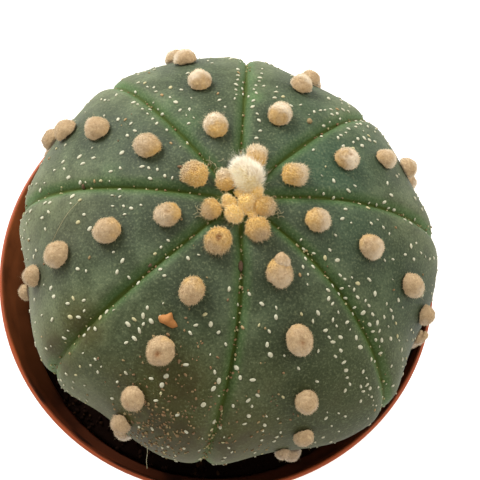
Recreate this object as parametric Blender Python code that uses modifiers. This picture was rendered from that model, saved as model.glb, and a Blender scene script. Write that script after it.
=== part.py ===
"""Star cactus in a round plastic nursery pot. Metres, +Z up, origin at the centre of the pot's foot."""

import math

import bmesh
import bpy
from mathutils import Matrix, Vector

# Pot: a thin-walled plastic nursery pot
RIM_RADIUS = 0.0325
POT_HEIGHT = 0.057
WALL = 0.0008
COLLAR_HEIGHT = 0.0085
COLLAR_STEP = 0.0009
COLLAR_TAPER = 0.0005
BASE_RADIUS = 0.0235
FOOT_WIDTH = 0.0022
FOOT_HEIGHT = 0.0016
FLOOR_THICKNESS = 0.0011
DRAIN_HOLE_RADIUS = 0.0025
DRAIN_CIRCLE_RADIUS = 0.0140
DRAIN_HOLES = 6
POT_STEPS = 72

# Clearance that keeps two touching solids apart
GAP = 0.0003

# Potting mix
SOIL_BELOW_RIM = 0.0085
SOIL_EDGE_DIP = 0.0012
SOIL_STEPS = 60

# Stem: a flattened globe cut by eight grooves, narrowing to a turnip root
RIBS = 8
STEM_RADIUS = 0.0298
STEM_HALF_HEIGHT = 0.0202
STEM_CENTRE = Vector((0.0007, -0.0009, POT_HEIGHT + 0.0093))
STEM_LEAN_X = math.radians(-1.7)
STEM_LEAN_Y = math.radians(2.1)
# Groove bearings at the widest plane, how far each turns on its way up to the crown, and the fullness of
# the rib that follows each groove clockwise
GROOVE_BEARINGS = (132.0, 89.8, 48.0, 7.4, -40.8, -90.2, -137.1, -183.7)
GROOVE_TURNS = (0.0, 2.0, 4.0, 6.5, 14.5, 12.0, 3.5, 0.0)
RIB_FULLNESS = (1.015, 0.970, 0.985, 1.025, 1.000, 0.975, 0.965, 0.995)
RIB_FLATTENING = 0.042
GROOVE_DEPTH = 0.0013
GROOVE_HALF_WIDTH = 0.0010
GROOVE_SHARPNESS = 1.2
GROOVE_FULL_FLANK = 0.40
CROWN_DIP = 0.0007
CROWN_DIP_RADIUS = 0.0048
ROOT_START = math.radians(125.0)
ROOT_LENGTH = 0.0140
ROOT_FADE_END = ROOT_START + 0.35
ROOT_FADE_LENGTH = 0.6
STEM_COLUMNS_PER_RIB = 8
STEM_ROWS = 30
COLUMN_PULL = 0.115

# Areoles: each rib forms one after another at the crown, and all drift outwards as the stem grows
AREOLE_REACH = math.radians(110.0)
AREOLE_LIFE = 9.36
OLDEST_AGE = 8.1
YOUNGEST_AGES = (1.67, 2.09, 2.30, 1.56, 1.69, 1.95, 1.38, 2.01)
# The youngest of each rib still jostles its neighbours at the crown: where it sits across its rib, its
# polar angle in degrees and its width
YOUNGEST_PLACES = (
    (0.2, 5.0, 0.0024),
    (0.45, 11.4, 0.0028),
    (0.52, 14.6, 0.0032),
    (0.77, 6.5, 0.0024),
    (0.53, 9.3, 0.0028),
    (0.51, 11.5, 0.0031),
    (0.34, 6.8, 0.0024),
    (0.45, 11.3, 0.0032),
)
AREOLE_WIDTH = 0.0036
AREOLE_GROWTH_AGE = 0.95
AREOLE_STRETCH = 0.18
AREOLE_STRETCH_AGE = 3.5
AREOLE_WEAR_AGE = 5.0
AREOLE_WEAR = 0.05
AREOLE_HEIGHT_RATIO = 0.36
UNDERSIDE_SHARE = 1.0 / 6.0
DOME_COLUMNS = 10
DOME_ROWS = 5

# Wool at the crown: the cap beside the growing point, and the tuft of a bud that pushes out across from it
CROWN_WOOL_RIB = 5
CROWN_WOOL_ACROSS = 0.2
CROWN_WOOL_POLAR = math.radians(2.5)
CROWN_WOOL_WIDTH = 0.0026
CROWN_WOOL_HEIGHT = 0.0014
TUFT_RIB = 1
TUFT_ACROSS = 0.62
TUFT_POLAR = math.radians(5.6)
TUFT_WIDTH = 0.0026
TUFT_HEIGHT = 0.0027


def clear_scene():
    for old in list(bpy.data.objects):
        bpy.data.objects.remove(old, do_unlink=True)
    for old in list(bpy.data.meshes):
        bpy.data.meshes.remove(old)


def new_collection(name, rendered=True):
    group = bpy.data.collections.new(name)
    bpy.context.scene.collection.children.link(group)
    group.hide_render = not rendered
    return group


def new_material(name, colour, roughness):
    material = bpy.data.materials.new(name)
    material.use_nodes = True
    shader = material.node_tree.nodes["Principled BSDF"]
    shader.inputs["Base Color"].default_value = (*colour, 1.0)
    shader.inputs["Roughness"].default_value = roughness
    return material


def object_from_bmesh(bm, name, group, material):
    mesh = bpy.data.meshes.new(name)
    bm.to_mesh(mesh)
    bm.free()
    mesh.shade_smooth()
    mesh.materials.append(material)
    obj = bpy.data.objects.new(name, mesh)
    group.objects.link(obj)
    return obj


def turned_object(name, profile, steps, group, material):
    """A closed solid of revolution from (radius, height) points that run down its outer side first."""
    bm = bmesh.new()
    points = [bm.verts.new((radius, 0.0, height)) for radius, height in profile]
    for first, second in zip(points, points[1:]):
        bm.edges.new((first, second))
    obj = object_from_bmesh(bm, name, group, material)
    screw = obj.modifiers.new("turn", "SCREW")
    screw.steps = screw.render_steps = steps
    screw.use_merge_vertices = True
    screw.merge_threshold = 0.00001
    return obj


def cut(obj, cutter):
    boolean = obj.modifiers.new("cut_" + cutter.name, "BOOLEAN")
    boolean.operation = "DIFFERENCE"
    boolean.object = cutter


def mark_cutter(obj):
    obj.hide_render = True
    obj.display_type = "WIRE"


# ---- pot ----


def inner_wall_radius(height):
    """Inside radius of the pot wall below the collar."""
    top = POT_HEIGHT - COLLAR_HEIGHT
    share = height / top
    return BASE_RADIUS + (RIM_RADIUS - COLLAR_TAPER - COLLAR_STEP - BASE_RADIUS) * share - WALL


def make_pot(group, cutters):
    plastic = new_material("terracotta_plastic", (0.45, 0.14, 0.07), 0.45)
    collar_bottom = POT_HEIGHT - COLLAR_HEIGHT
    outer_step = RIM_RADIUS - COLLAR_TAPER
    outer_body = outer_step - COLLAR_STEP
    lip = WALL * 0.35
    floor_top = FOOT_HEIGHT + FLOOR_THICKNESS
    profile = [
        (RIM_RADIUS - lip, POT_HEIGHT),
        (RIM_RADIUS, POT_HEIGHT - lip),
        (outer_step, collar_bottom + COLLAR_STEP * 0.4),
        (outer_step - COLLAR_STEP * 0.4, collar_bottom),
        (outer_body, collar_bottom - COLLAR_STEP * 0.4),
        (BASE_RADIUS + 0.0003, 0.0008),
        (BASE_RADIUS - 0.0003, 0.0),
        (BASE_RADIUS - FOOT_WIDTH, 0.0),
        (BASE_RADIUS - FOOT_WIDTH - 0.0006, FOOT_HEIGHT),
        (0.0, FOOT_HEIGHT),
        (0.0, floor_top),
        (BASE_RADIUS - WALL - 0.0015, floor_top),
        (inner_wall_radius(floor_top + 0.0014), floor_top + 0.0014),
        (inner_wall_radius(collar_bottom - WALL), collar_bottom - WALL),
        (outer_step - WALL, collar_bottom + COLLAR_STEP * 0.4 - WALL),
        (RIM_RADIUS - WALL, POT_HEIGHT - lip),
        (RIM_RADIUS - WALL + lip, POT_HEIGHT),
        (RIM_RADIUS - lip, POT_HEIGHT),
    ]
    pot = turned_object("pot", profile, POT_STEPS, group, plastic)
    for index in range(DRAIN_HOLES):
        angle = 2.0 * math.pi * index / DRAIN_HOLES
        bm = bmesh.new()
        bmesh.ops.create_cone(
            bm,
            cap_ends=True,
            segments=20,
            radius1=DRAIN_HOLE_RADIUS,
            radius2=DRAIN_HOLE_RADIUS,
            depth=4.0 * FLOOR_THICKNESS,
        )
        drill = object_from_bmesh(bm, f"drain_drill_{index + 1}", cutters, plastic)
        drill.location = (
            DRAIN_CIRCLE_RADIUS * math.cos(angle),
            DRAIN_CIRCLE_RADIUS * math.sin(angle),
            FOOT_HEIGHT + FLOOR_THICKNESS / 2.0,
        )
        mark_cutter(drill)
        cut(pot, drill)
    return pot


# ---- stem ----


def crown_weight(polar):
    """1 at the growing point, 0 from the widest plane down."""
    return 1.0 - math.sin(min(polar, math.pi / 2.0))


def groove_bearing(index, polar):
    """Bearing of a groove, in radians, at a polar angle counted from the crown."""
    whole_turns, groove = divmod(index, RIBS)
    bearing = GROOVE_BEARINGS[groove] + GROOVE_TURNS[groove] * crown_weight(polar)
    return math.radians(bearing - 360.0 * whole_turns)


def rib_bearing(rib, across, polar):
    """Bearing at a place across a rib: 0 at its first groove, 1 at its second."""
    first = groove_bearing(rib, polar)
    second = groove_bearing(rib + 1, polar)
    return first + (second - first) * across


def stem_point(rib, across, polar, spread=0.0):
    """A point of the stem's skin, grown outwards by spread, in the pot's frame."""
    from_centre = 2.0 * across - 1.0
    neighbour = RIB_FULLNESS[(rib + (1 if from_centre > 0.0 else -1)) % RIBS]
    own = RIB_FULLNESS[rib % RIBS]
    blend = math.cos(math.pi * from_centre / 2.0) ** 2
    fullness = own * blend + (own + neighbour) / 2.0 * (1.0 - blend)
    flank = math.sin(polar)
    radius = STEM_RADIUS * flank * (1.0 + (fullness - 1.0) * flank**2)
    radius *= 1.0 - RIB_FLATTENING * flank**2 * (1.0 - from_centre**2)
    height = STEM_HALF_HEIGHT * math.cos(polar)
    # The groove is a V with rounded lips. It fades at the growing point and on the buried root.
    rib_angle = abs(groove_bearing(rib + 1, polar) - groove_bearing(rib, polar))
    to_groove = (1.0 - abs(from_centre)) / 2.0 * rib_angle * STEM_RADIUS * flank
    depth = GROOVE_DEPTH * math.exp(-((to_groove / GROOVE_HALF_WIDTH) ** GROOVE_SHARPNESS))
    depth *= min(1.0, flank / GROOVE_FULL_FLANK)
    depth *= max(0.0, min(1.0, (ROOT_FADE_END - polar) / ROOT_FADE_LENGTH))
    inward = Vector((flank / STEM_RADIUS, math.cos(polar) / STEM_HALF_HEIGHT)).normalized()
    radius -= depth * inward.x
    height -= depth * inward.y
    if polar < math.pi / 2.0:
        height -= CROWN_DIP * math.exp(-((radius / CROWN_DIP_RADIUS) ** 2))
    if polar > ROOT_START:
        height -= ROOT_LENGTH * ((polar - ROOT_START) / (math.pi - ROOT_START)) ** 2
    radius += spread * inward.x
    height += spread * inward.y
    bearing = rib_bearing(rib, across, polar)
    local = Vector((radius * math.cos(bearing), radius * math.sin(bearing), height))
    return STEM_CENTRE + stem_lean() @ local


def stem_lean():
    return Matrix.Rotation(STEM_LEAN_Y, 3, "Y") @ Matrix.Rotation(STEM_LEAN_X, 3, "X")


def across_of_column(share):
    """Spreads the columns of a rib so that they lie closer together beside its grooves."""
    return share - COLUMN_PULL * math.sin(2.0 * math.pi * share)


def stem_mesh(spread=0.0):
    """A UV sphere whose columns follow the ribs and whose rows follow the polar angle."""
    columns = RIBS * STEM_COLUMNS_PER_RIB
    bm = bmesh.new()
    bmesh.ops.create_uvsphere(bm, u_segments=columns, v_segments=STEM_ROWS, radius=1.0)
    for vert in bm.verts:
        polar = math.acos(max(-1.0, min(1.0, vert.co.z)))
        if vert.co.xy.length < 1e-6:
            rib, across = 0, 0.5
        else:
            share = (-math.atan2(vert.co.y, vert.co.x) / (2.0 * math.pi)) % 1.0
            column = round(share * columns) % columns
            rib, step = divmod(column, STEM_COLUMNS_PER_RIB)
            across = across_of_column(step / STEM_COLUMNS_PER_RIB)
        vert.co = stem_point(rib, across, polar, spread)
    return bm


def make_stem(group):
    skin = new_material("grey_green_skin", (0.09, 0.15, 0.08), 0.6)
    return object_from_bmesh(stem_mesh(), "stem", group, skin)


# ---- soil ----


def make_soil(group, cutters):
    earth = new_material("potting_mix", (0.04, 0.025, 0.018), 0.95)
    top = POT_HEIGHT - SOIL_BELOW_RIM
    collar_inside = POT_HEIGHT - COLLAR_HEIGHT - WALL
    bottom = FOOT_HEIGHT + FLOOR_THICKNESS + GAP
    profile = [
        (0.0, top),
        (inner_wall_radius(collar_inside) * 0.75, top),
        (inner_wall_radius(top - SOIL_EDGE_DIP) - 2.0 * GAP, top - SOIL_EDGE_DIP),
        (inner_wall_radius(bottom + 0.0016) - 1.5 * GAP, bottom + 0.0016),
        (BASE_RADIUS - WALL - 0.0018, bottom),
        (0.0, bottom),
    ]
    soil = turned_object("soil", profile, SOIL_STEPS, group, earth)
    hollow = object_from_bmesh(stem_mesh(1.2 * GAP), "stem_hollow", cutters, earth)
    mark_cutter(hollow)
    cut(soil, hollow)
    return soil


# ---- areoles ----


def areole_polar(age):
    """How far down the rib an areole of this age has drifted from the crown."""
    return AREOLE_REACH / 2.0 * (1.0 - math.cos(math.pi * age / AREOLE_LIFE))


def dome_mesh(width, length, height):
    """A squat felt dome: a sphere whose lower half is pressed nearly flat."""
    bm = bmesh.new()
    bmesh.ops.create_uvsphere(bm, u_segments=DOME_COLUMNS, v_segments=DOME_ROWS, radius=1.0)
    for vert in bm.verts:
        press = 1.0 if vert.co.z > 0.0 else UNDERSIDE_SHARE
        vert.co = Vector((vert.co.x * length / 2.0, vert.co.y * width / 2.0, vert.co.z * height * press))
    return bm


def seat_on_skin(rib, across, polar, height):
    """Matrix that stands a dome on the skin: x down the rib, y across it, z straight out."""
    step = 0.02
    place = stem_point(rib, across, polar)
    down = (stem_point(rib, across, polar + step) - stem_point(rib, across, polar - step)).normalized()
    sideways = (stem_point(rib, across - step, polar) - stem_point(rib, across + step, polar)).normalized()
    out = down.cross(sideways).normalized()
    turn = Matrix((down, out.cross(down), out)).transposed().to_4x4()
    return Matrix.Translation(place + out * (GAP + height * UNDERSIDE_SHARE)) @ turn


def make_areoles(group):
    felt = new_material("beige_felt", (0.55, 0.40, 0.25), 0.95)
    for rib, youngest in enumerate(YOUNGEST_AGES):
        for index in range(math.floor(OLDEST_AGE - youngest) + 1):
            age = youngest + index
            across, polar = 0.5, areole_polar(age)
            width = AREOLE_WIDTH * (1.0 - math.exp(-age / AREOLE_GROWTH_AGE))
            width *= 1.0 - AREOLE_WEAR * max(0.0, age - AREOLE_WEAR_AGE)
            if index == 0:
                across, degrees, width = YOUNGEST_PLACES[rib]
                polar = math.radians(degrees)
            length = width * (1.0 + AREOLE_STRETCH * min(1.0, age / AREOLE_STRETCH_AGE))
            height = width * AREOLE_HEIGHT_RATIO
            bm = dome_mesh(width, length, height)
            pad = object_from_bmesh(bm, f"areole_rib{rib + 1}_{index + 1}", group, felt)
            pad.matrix_world = seat_on_skin(rib, across, polar, height)


def make_crown(group):
    golden = new_material("golden_wool", (0.62, 0.45, 0.22), 0.95)
    white = new_material("white_wool", (0.80, 0.74, 0.60), 0.95)
    bm = dome_mesh(CROWN_WOOL_WIDTH, CROWN_WOOL_WIDTH, CROWN_WOOL_HEIGHT)
    cap = object_from_bmesh(bm, "crown_wool", group, golden)
    cap.matrix_world = seat_on_skin(
        CROWN_WOOL_RIB, CROWN_WOOL_ACROSS, CROWN_WOOL_POLAR, CROWN_WOOL_HEIGHT
    )
    bm = dome_mesh(TUFT_WIDTH, TUFT_WIDTH, TUFT_HEIGHT)
    tuft = object_from_bmesh(bm, "bud_tuft", group, white)
    tuft.matrix_world = seat_on_skin(TUFT_RIB, TUFT_ACROSS, TUFT_POLAR, TUFT_HEIGHT)


def main():
    clear_scene()
    parts = new_collection("potted_star_cactus")
    cutters = new_collection("cutters", rendered=False)
    make_pot(parts, cutters)
    make_stem(parts)
    make_soil(parts, cutters)
    make_areoles(parts)
    make_crown(parts)


main()
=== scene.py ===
import math

import bmesh
import bpy
import numpy as np
from mathutils import Matrix, Vector, noise


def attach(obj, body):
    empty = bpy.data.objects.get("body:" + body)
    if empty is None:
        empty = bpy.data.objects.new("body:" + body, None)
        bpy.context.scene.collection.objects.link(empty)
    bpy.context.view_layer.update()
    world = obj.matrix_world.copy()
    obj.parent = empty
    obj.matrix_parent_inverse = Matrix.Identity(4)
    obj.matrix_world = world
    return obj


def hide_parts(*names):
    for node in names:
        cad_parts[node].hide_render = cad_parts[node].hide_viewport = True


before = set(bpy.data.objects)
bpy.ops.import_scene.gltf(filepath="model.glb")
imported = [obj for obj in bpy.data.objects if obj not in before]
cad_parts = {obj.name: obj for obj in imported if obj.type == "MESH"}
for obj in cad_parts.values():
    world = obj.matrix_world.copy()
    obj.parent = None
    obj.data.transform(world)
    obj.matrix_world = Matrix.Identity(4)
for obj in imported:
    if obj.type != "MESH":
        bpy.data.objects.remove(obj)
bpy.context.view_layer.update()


def linearColour(hexText):
    # sRGB hex to the linear colour a shader takes
    channels = [int(hexText[place : place + 2], 16) / 255 for place in (1, 3, 5)]
    return tuple(c / 12.92 if c <= 0.04045 else ((c + 0.055) / 1.055) ** 2.4 for c in channels) + (1.0,)


def addNode(tree, kind, inputs=None, **settings):
    # one node: an input takes a value, a socket, or another node's first live output
    node = tree.nodes.new(kind)
    for setting, value in settings.items():
        setattr(node, setting, value)
    for key, value in (inputs or {}).items():
        live = [socket for socket in node.inputs if socket.enabled]
        socket = live[key] if isinstance(key, int) else next(s for s in live if s.name == key)
        if isinstance(value, bpy.types.Node):
            value = next(output for output in value.outputs if output.enabled)
        if isinstance(value, bpy.types.NodeSocket):
            tree.links.new(value, socket)
        else:
            socket.default_value = value
    return node


def newTree(name, inputs):
    # a geometry tree with one named input for each value, and the node that brings them in
    tree = bpy.data.node_groups.new(name, "GeometryNodeTree")
    kinds = {int: "NodeSocketInt", float: "NodeSocketFloat", bpy.types.Material: "NodeSocketMaterial"}
    tree.interface.new_socket("Geometry", in_out="INPUT", socket_type="NodeSocketGeometry")
    tree.interface.new_socket("Geometry", in_out="OUTPUT", socket_type="NodeSocketGeometry")
    for label, value in inputs.items():
        tree.interface.new_socket(label, in_out="INPUT", socket_type=kinds[type(value)])
    return tree, tree.nodes.new("NodeGroupInput")


def closeTree(tree, geometry, material):
    # every tree ends in real faces with their material
    smooth = addNode(tree, "GeometryNodeSetShadeSmooth", {0: geometry})
    real = addNode(tree, "GeometryNodeRealizeInstances", {"Geometry": smooth})
    painted = addNode(tree, "GeometryNodeSetMaterial", {"Geometry": real, "Material": material})
    addNode(tree, "NodeGroupOutput", {"Geometry": painted})


def seedMesh(name, points, edges=(), **values):
    # loose vertices that carry the named values into a tree
    mesh = bpy.data.meshes.new(name)
    mesh.from_pydata([tuple(point) for point in points], edges, [])
    kinds = {1: ("FLOAT", "value"), 3: ("FLOAT_VECTOR", "vector"), 4: ("QUATERNION", "value")}
    for label, column in values.items():
        table = np.array([tuple(row) if hasattr(row, "__len__") else (row,) for row in column], np.float32)
        kind, field = kinds[table.shape[1]]
        mesh.attributes.new(label, kind, "POINT").data.foreach_set(field, table.ravel())
    return mesh


def linkObject(name, data):
    made = bpy.data.objects.new(name, data)
    bpy.context.scene.collection.objects.link(made)
    return made


def closedPiece(name, points, faces, material, change=None):
    # a mesh from its points and faces, all turned outwards after any change made to it
    mesh = bpy.data.meshes.new(name)
    mesh.from_pydata(points, [], faces)
    work = bmesh.new()
    work.from_mesh(mesh)
    if change:
        change(work)
    bmesh.ops.recalc_face_normals(work, faces=work.faces)
    work.to_mesh(mesh)
    work.free()
    mesh.shade_smooth()
    mesh.materials.append(material)
    return linkObject(name, mesh)


def growPiece(name, seeds, tree, inputs, replaced=()):
    # runs a tree on its seeds, keeps the result as a plain mesh and hands it to the frame
    piece = linkObject(name, seeds)
    modifier = piece.modifiers.new("grow", "NODES")
    modifier.node_group = tree
    for item in tree.interface.items_tree:
        if item.in_out == "INPUT" and item.name in inputs:
            modifier[item.identifier] = inputs[item.name]
    ready = piece.evaluated_get(bpy.context.evaluated_depsgraph_get())
    plain = bpy.data.meshes.new_from_object(ready)
    piece.modifiers.clear()
    piece.data = plain
    plain.name = name
    return handIn(piece, replaced)


def handIn(piece, replaced=()):
    # nothing in a potted plant moves, so every piece rides on the one body
    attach(piece, "root")
    if replaced:
        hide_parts(*replaced)
    print(piece.name, "made:", len(piece.data.polygons), "faces")
    return piece


def runSums(tree, known, sums):
    # each line of sums is a name, an operation and what it works on, as numbers or earlier names
    for label, operation, *terms in sums:
        taken = {place: known.get(term, term) for place, term in enumerate(terms)}
        known[label] = addNode(tree, "ShaderNodeMath", taken, operation=operation, label=label)
    return known


def newMaterial(name):
    material = bpy.data.materials.new(name)
    material.use_nodes = True
    tree = material.node_tree
    tree.nodes.clear()
    shader = addNode(tree, "ShaderNodeBsdfPrincipled")
    addNode(tree, "ShaderNodeOutputMaterial", {"Surface": shader})
    return material, tree, shader


def coverWith(tree, under, colour, mask, low, high, amount=1.0):
    # lays a colour over another where the mask runs from low, none, to high, the full amount
    share = addNode(
        tree,
        "ShaderNodeMapRange",
        {"Value": mask, "From Min": low, "From Max": high, "To Max": amount},
        interpolation_type="SMOOTHSTEP",
    )
    under = linearColour(under) if isinstance(under, str) else under
    return addNode(
        tree, "ShaderNodeMix", {"Factor": share, "A": under, "B": linearColour(colour)}, data_type="RGBA"
    )


def layCoats(tree, colour, known, coats):
    # a coat is a colour, what it follows, where that gives none and all of it, and how much
    for coat, mask, low, high, amount in coats:
        colour = coverWith(tree, colour, coat, known[mask], low, high, amount)
    return colour


def finishMaterial(tree, shader, colour, roughness, height, depth, **constants):
    # links colour and bump, and sets the numbers that are the same all over
    tree.links.new(next(o for o in colour.outputs if o.enabled), shader.inputs["Base Color"])
    bump = addNode(tree, "ShaderNodeBump", {"Height": height, "Strength": 1.0, "Distance": depth})
    tree.links.new(bump.outputs["Normal"], shader.inputs["Normal"])
    shader.inputs["Roughness"].default_value = roughness
    for label, value in constants.items():
        shader.inputs[label.replace("_", " ")].default_value = value


# Skin: the waxy epidermis of a living succulent. It dries matt, with a fine grain of pale pores and a
# network of faint scars, so the eye sees a soft grey-green that is never one flat colour.
skin = {
    "ground": "#3f4a32",
    "poreSize": 0.00030,  # metres, as are all the sizes below
    "speckSize": 0.00054,
    "scarSize": 0.0014,
    "patchSize": 0.0030,
    "flankReach": 0.0016,
    "padShade": 0.0048,  # how far the shade of a felt pad reaches
    "coats": (
        ("#546146", "patches", 0.40, 0.62, 1.0),
        ("#7a7f58", "bloomAndSheen", 0.45, 1.75, 0.62),  # pale bloom with painted sheen, low on the ribs where they turn towards the outline, and towards their edges
        ("#30382a", "shadeRough", 0.08, 0.55, 0.75),  # and thin shade lies round the felt pads
        # painted shade: the darker spots on the skin
        ("#343e2c", "paintedShade", 0.0, 1.0, 0.90),
        # paler spots: thick bloom with painted light, most on ribs 6 and 7 towards the window
        ("#a59b80", "thickBloomAndPaintedLight", 0.0, 1.0, 0.80),
        ("#3c6a50", "cool", 0.0, 1.0, 0.30),
        # fresh green with painted light on the flanks that face the light
        ("#638a4e", "freshGreenAndPaintedLight", 0.05, 1.0, 0.75),
        ("#476533", "toGroove", 0.0016, 0.0003, 0.64),  # greener down the flank of a groove
        ("#46702c", "lowFlank", 0.02, 0.55, 0.50),
        # dirt where grit gathers, and painted shade on the lower part of rib 4
        ("#4c4a1a", "dirtAndShade", 0.05, 0.90, 0.90),
        ("#262d1b", "pores", 0.50, 0.25, 0.50),
        ("#8b926d", "pores", 0.50, 0.80, 0.42),
        ("#8b926d", "speck", 1.0, 0.3, 0.24),
        ("#8b926d", "scarLine", 0.016, 0.0, 0.08),
        # the same dirt and painted shade, mottled
        ("#3d3517", "dirtAndShadeRough", 0.16, 0.55, 0.85),
        ("#455418", "toGroove", 0.00040, 0.00005, 0.95),  # the crease itself
    ),
}
# what shows in places only: rib, share of its width, polar angle in degrees, radius and strength
skinSpots = {
    # dirt where grit gathers on ribs 4 and 5, and painted shade on the lower part of rib 4
    "dirtAndShade": (
        (5, 0.30, 72.0, 0.0095, 1.0),
        (5, 0.33, 52.0, 0.0075, 0.75),
        (5, 0.60, 40.0, 0.0050, 0.35),
        (5, 0.62, 60.0, 0.0060, 0.55),
        (4, 0.74, 72.0, 0.0070, 0.45),
        (4, 0.88, 72.0, 0.0100, 0.75),
        (4, 0.72, 48.0, 0.0065, 0.40),
        (5, 0.55, 85.0, 0.0120, 0.55),
        (4, 0.40, 85.0, 0.0120, 0.50),
        (4, 0.30, 62.0, 0.0130, 0.45),
        (6, 0.02, 52.0, 0.0045, 0.70),
        (6, 0.02, 68.0, 0.0050, 0.70),
    ),
    # painted shade: darker spots, strongest low on the lower right ribs 3 and 4
    "paintedShade": (
        (4, 0.22, 62.0, 0.0120, 0.75),
        (4, 0.30, 84.0, 0.0130, 0.95),
        (4, 0.70, 80.0, 0.0090, 0.45),
        (3, 0.55, 82.0, 0.0110, 0.80),
        (3, 0.90, 66.0, 0.0060, 0.40),
        (5, 0.55, 44.0, 0.0045, 0.30),
        (0, 0.50, 22.0, 0.0050, 0.35),
        (2, 0.69, 27.0, 0.0060, 0.45),
        (5, 0.18, 37.0, 0.0055, 0.28),
        (4, 0.60, 28.0, 0.0050, 0.25),
        (0, 0.79, 20.0, 0.0045, 0.32),
        (1, 0.50, 19.5, 0.0050, 0.25),
        (7, 0.31, 35.0, 0.0050, 0.16),
        (3, 0.28, 64.0, 0.0070, 0.38),
        (7, 0.50, 30.0, 0.0080, 0.22),
        (7, 0.50, 50.0, 0.0090, 0.22),
        (6, 0.50, 27.0, 0.0080, 0.22),
        (0, 0.50, 30.0, 0.0070, 0.15),
        (4, 0.50, 52.0, 0.0080, 0.25),
        (5, 0.14, 36.0, 0.0060, 0.30),
        (4, 0.80, 34.0, 0.0050, 0.15),
    ),
    # paler spots: thick bloom with painted light, most on ribs 6 and 7 towards the window
    "thickBloomAndPaintedLight": (
        (3, 0.30, 24.0, 0.0050, 0.10),
        (6, 0.50, 86.0, 0.0120, 0.32),
        (5, 0.75, 84.0, 0.0110, 0.12),
        (2, 0.50, 52.0, 0.0060, 0.18),
        (6, 0.40, 66.0, 0.0080, 0.20),
        (6, 0.75, 46.0, 0.0080, 0.22),
        (6, 0.80, 72.0, 0.0090, 0.22),
        (7, 0.20, 70.0, 0.0090, 0.15),
        (7, 0.75, 62.0, 0.0070, 0.12),
    ),
    # a cooler, leafier green
    "cool": (
        (2, 0.50, 26.0, 0.0080, 0.90),
        (2, 0.35, 46.0, 0.0080, 0.60),
        (1, 0.75, 38.0, 0.0060, 0.45),
        (3, 0.30, 28.0, 0.0070, 0.60),
        (3, 0.60, 50.0, 0.0080, 0.40),
        (4, 0.20, 56.0, 0.0080, 0.45),
    ),
    # fresh green with painted light down the sides of the upper ribs, on the flanks that face the light
    "freshGreenAndPaintedLight": (
        (0, 0.18, 24.0, 0.0026, 0.40),
        (0, 0.12, 33.0, 0.0024, 0.35),
        (1, 0.09, 32.0, 0.0018, 0.55),
        (1, 0.07, 42.0, 0.0018, 0.35),
        (7, 0.12, 33.0, 0.0022, 0.35),
    ),
}


def makeSkin():
    material, tree, shader = newMaterial("waxyCactusSkin")
    where = addNode(tree, "ShaderNodeTexCoord").outputs["Object"]
    known = {}
    for label in ("toGroove", "polar", "ribEdge", "nearPad", *skinSpots):
        known[label] = addNode(tree, "ShaderNodeAttribute", attribute_name=label).outputs["Fac"]
    for label, size, settings in (
        ("pores", skin["poreSize"], {"Detail": 2.0, "Roughness": 0.6}),
        ("bent", skin["scarSize"], {"Detail": 3.0, "Distortion": 1.4}),
        ("patches", skin["patchSize"], {"Detail": 5.0}),
    ):
        known[label] = addNode(tree, "ShaderNodeTexNoise", {"Vector": where, "Scale": 1 / size, **settings})
    known["specks"] = addNode(
        tree, "ShaderNodeTexVoronoi", {"Vector": where, "Scale": 1 / skin["speckSize"]}, feature="F1"
    )
    runSums(
        tree,
        known,
        (
            # pale bloom with painted sheen: it grows lower down the ribs and towards the grooves
            ("bloomAndSheenPolar", "MULTIPLY", "polar", 0.75),
            ("bloomAndSheenEdge", "MULTIPLY_ADD", "ribEdge", 0.45, "bloomAndSheenPolar"),
            ("bloomAndSheenRough", "ADD", "bloomAndSheenEdge", -0.5),
            ("bloomAndSheen", "MULTIPLY_ADD", "patches", 0.9, "bloomAndSheenRough"),
            ("scarFree", "SUBTRACT", "bent", 0.5),
            ("scarLine", "ABSOLUTE", "scarFree"),
            ("dirtAndShadeRough", "MULTIPLY", "dirtAndShade", "patches"),
            ("shadeRough", "MULTIPLY", "nearPad", "patches"),
            ("speckSize", "MULTIPLY_ADD", "patches", 0.35, 0.05),
            ("speck", "DIVIDE", "specks", "speckSize"),
            ("flankAway", "DIVIDE", "toGroove", -skin["flankReach"]),
            ("flankNear", "ADD", "flankAway", 1.0),
            ("flankShare", "MAXIMUM", "flankNear", 0.0),
            ("lowerDown", "SUBTRACT", "polar", 0.5),
            ("lowFlank", "MULTIPLY", "flankShare", "lowerDown"),
        ),
    )
    colour = layCoats(tree, skin["ground"], known, skin["coats"])
    finishMaterial(tree, shader, colour, 0.65, known["pores"], 0.00004, Specular_IOR_Level=0.22)
    return material


# Stem: a flattened globe cut by eight grooves, narrowing to a turnip root in the soil
potHeight = 0.057
stem = {
    "ribs": 8,
    "columnsPerRib": 40,
    "rows": 200,
    "centre": Vector((0.0007, -0.0009, potHeight + 0.0093)),
    "leanX": math.radians(-1.7),
    "leanY": math.radians(2.1),
    # bearing of each groove at the widest plane, its turn towards the crown, and how full the next rib is
    "grooveBearing": (132.0, 89.8, 48.0, 7.4, -40.8, -90.2, -137.1, -183.7),
    "grooveTurn": (0.0, 2.0, 4.0, 6.5, 14.5, 12.0, 3.5, 0.0),
    "fullness": (1.015, 0.970, 0.982, 1.002, 0.984, 0.968, 0.950, 0.995),
    "skew": (0.0, 0.0, 0.0, 0.05, 0.10, 0.07, 0.05, 0.0),  # fuller towards its first groove
    "ease": (0.0, 0.0, 0.0, 0.012, 0.036, 0.0, 0.020, 0.0),  # fuller on both sides of the groove
    "columnPull": 0.12,  # draws the columns towards the grooves
}
stemSizes = {
    "Columns": stem["ribs"] * stem["columnsPerRib"],
    "Columns Per Rib": float(stem["columnsPerRib"]),
    "Rows": stem["rows"],
    "Radius": 0.0298,
    "Half Height": 0.0202,
    "Flattening": 0.042,
    "High Groove Depth": 0.0009,
    "Low Groove Depth": 0.0013,
    "High Groove Half Width": 0.00058,
    "Low Groove Half Width": 0.00115,
    "Groove Sharpness": 1.25,
    "Crown Dip": 0.0007,
    "Crown Dip Radius": 0.0048,
    "Root Start": math.radians(125.0),
    "Root Length": 0.0140,
    "Column Pull": stem["columnPull"],
    "Wave Size": 0.0062,
    "Wave Depth": 0.00042,
}


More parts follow.
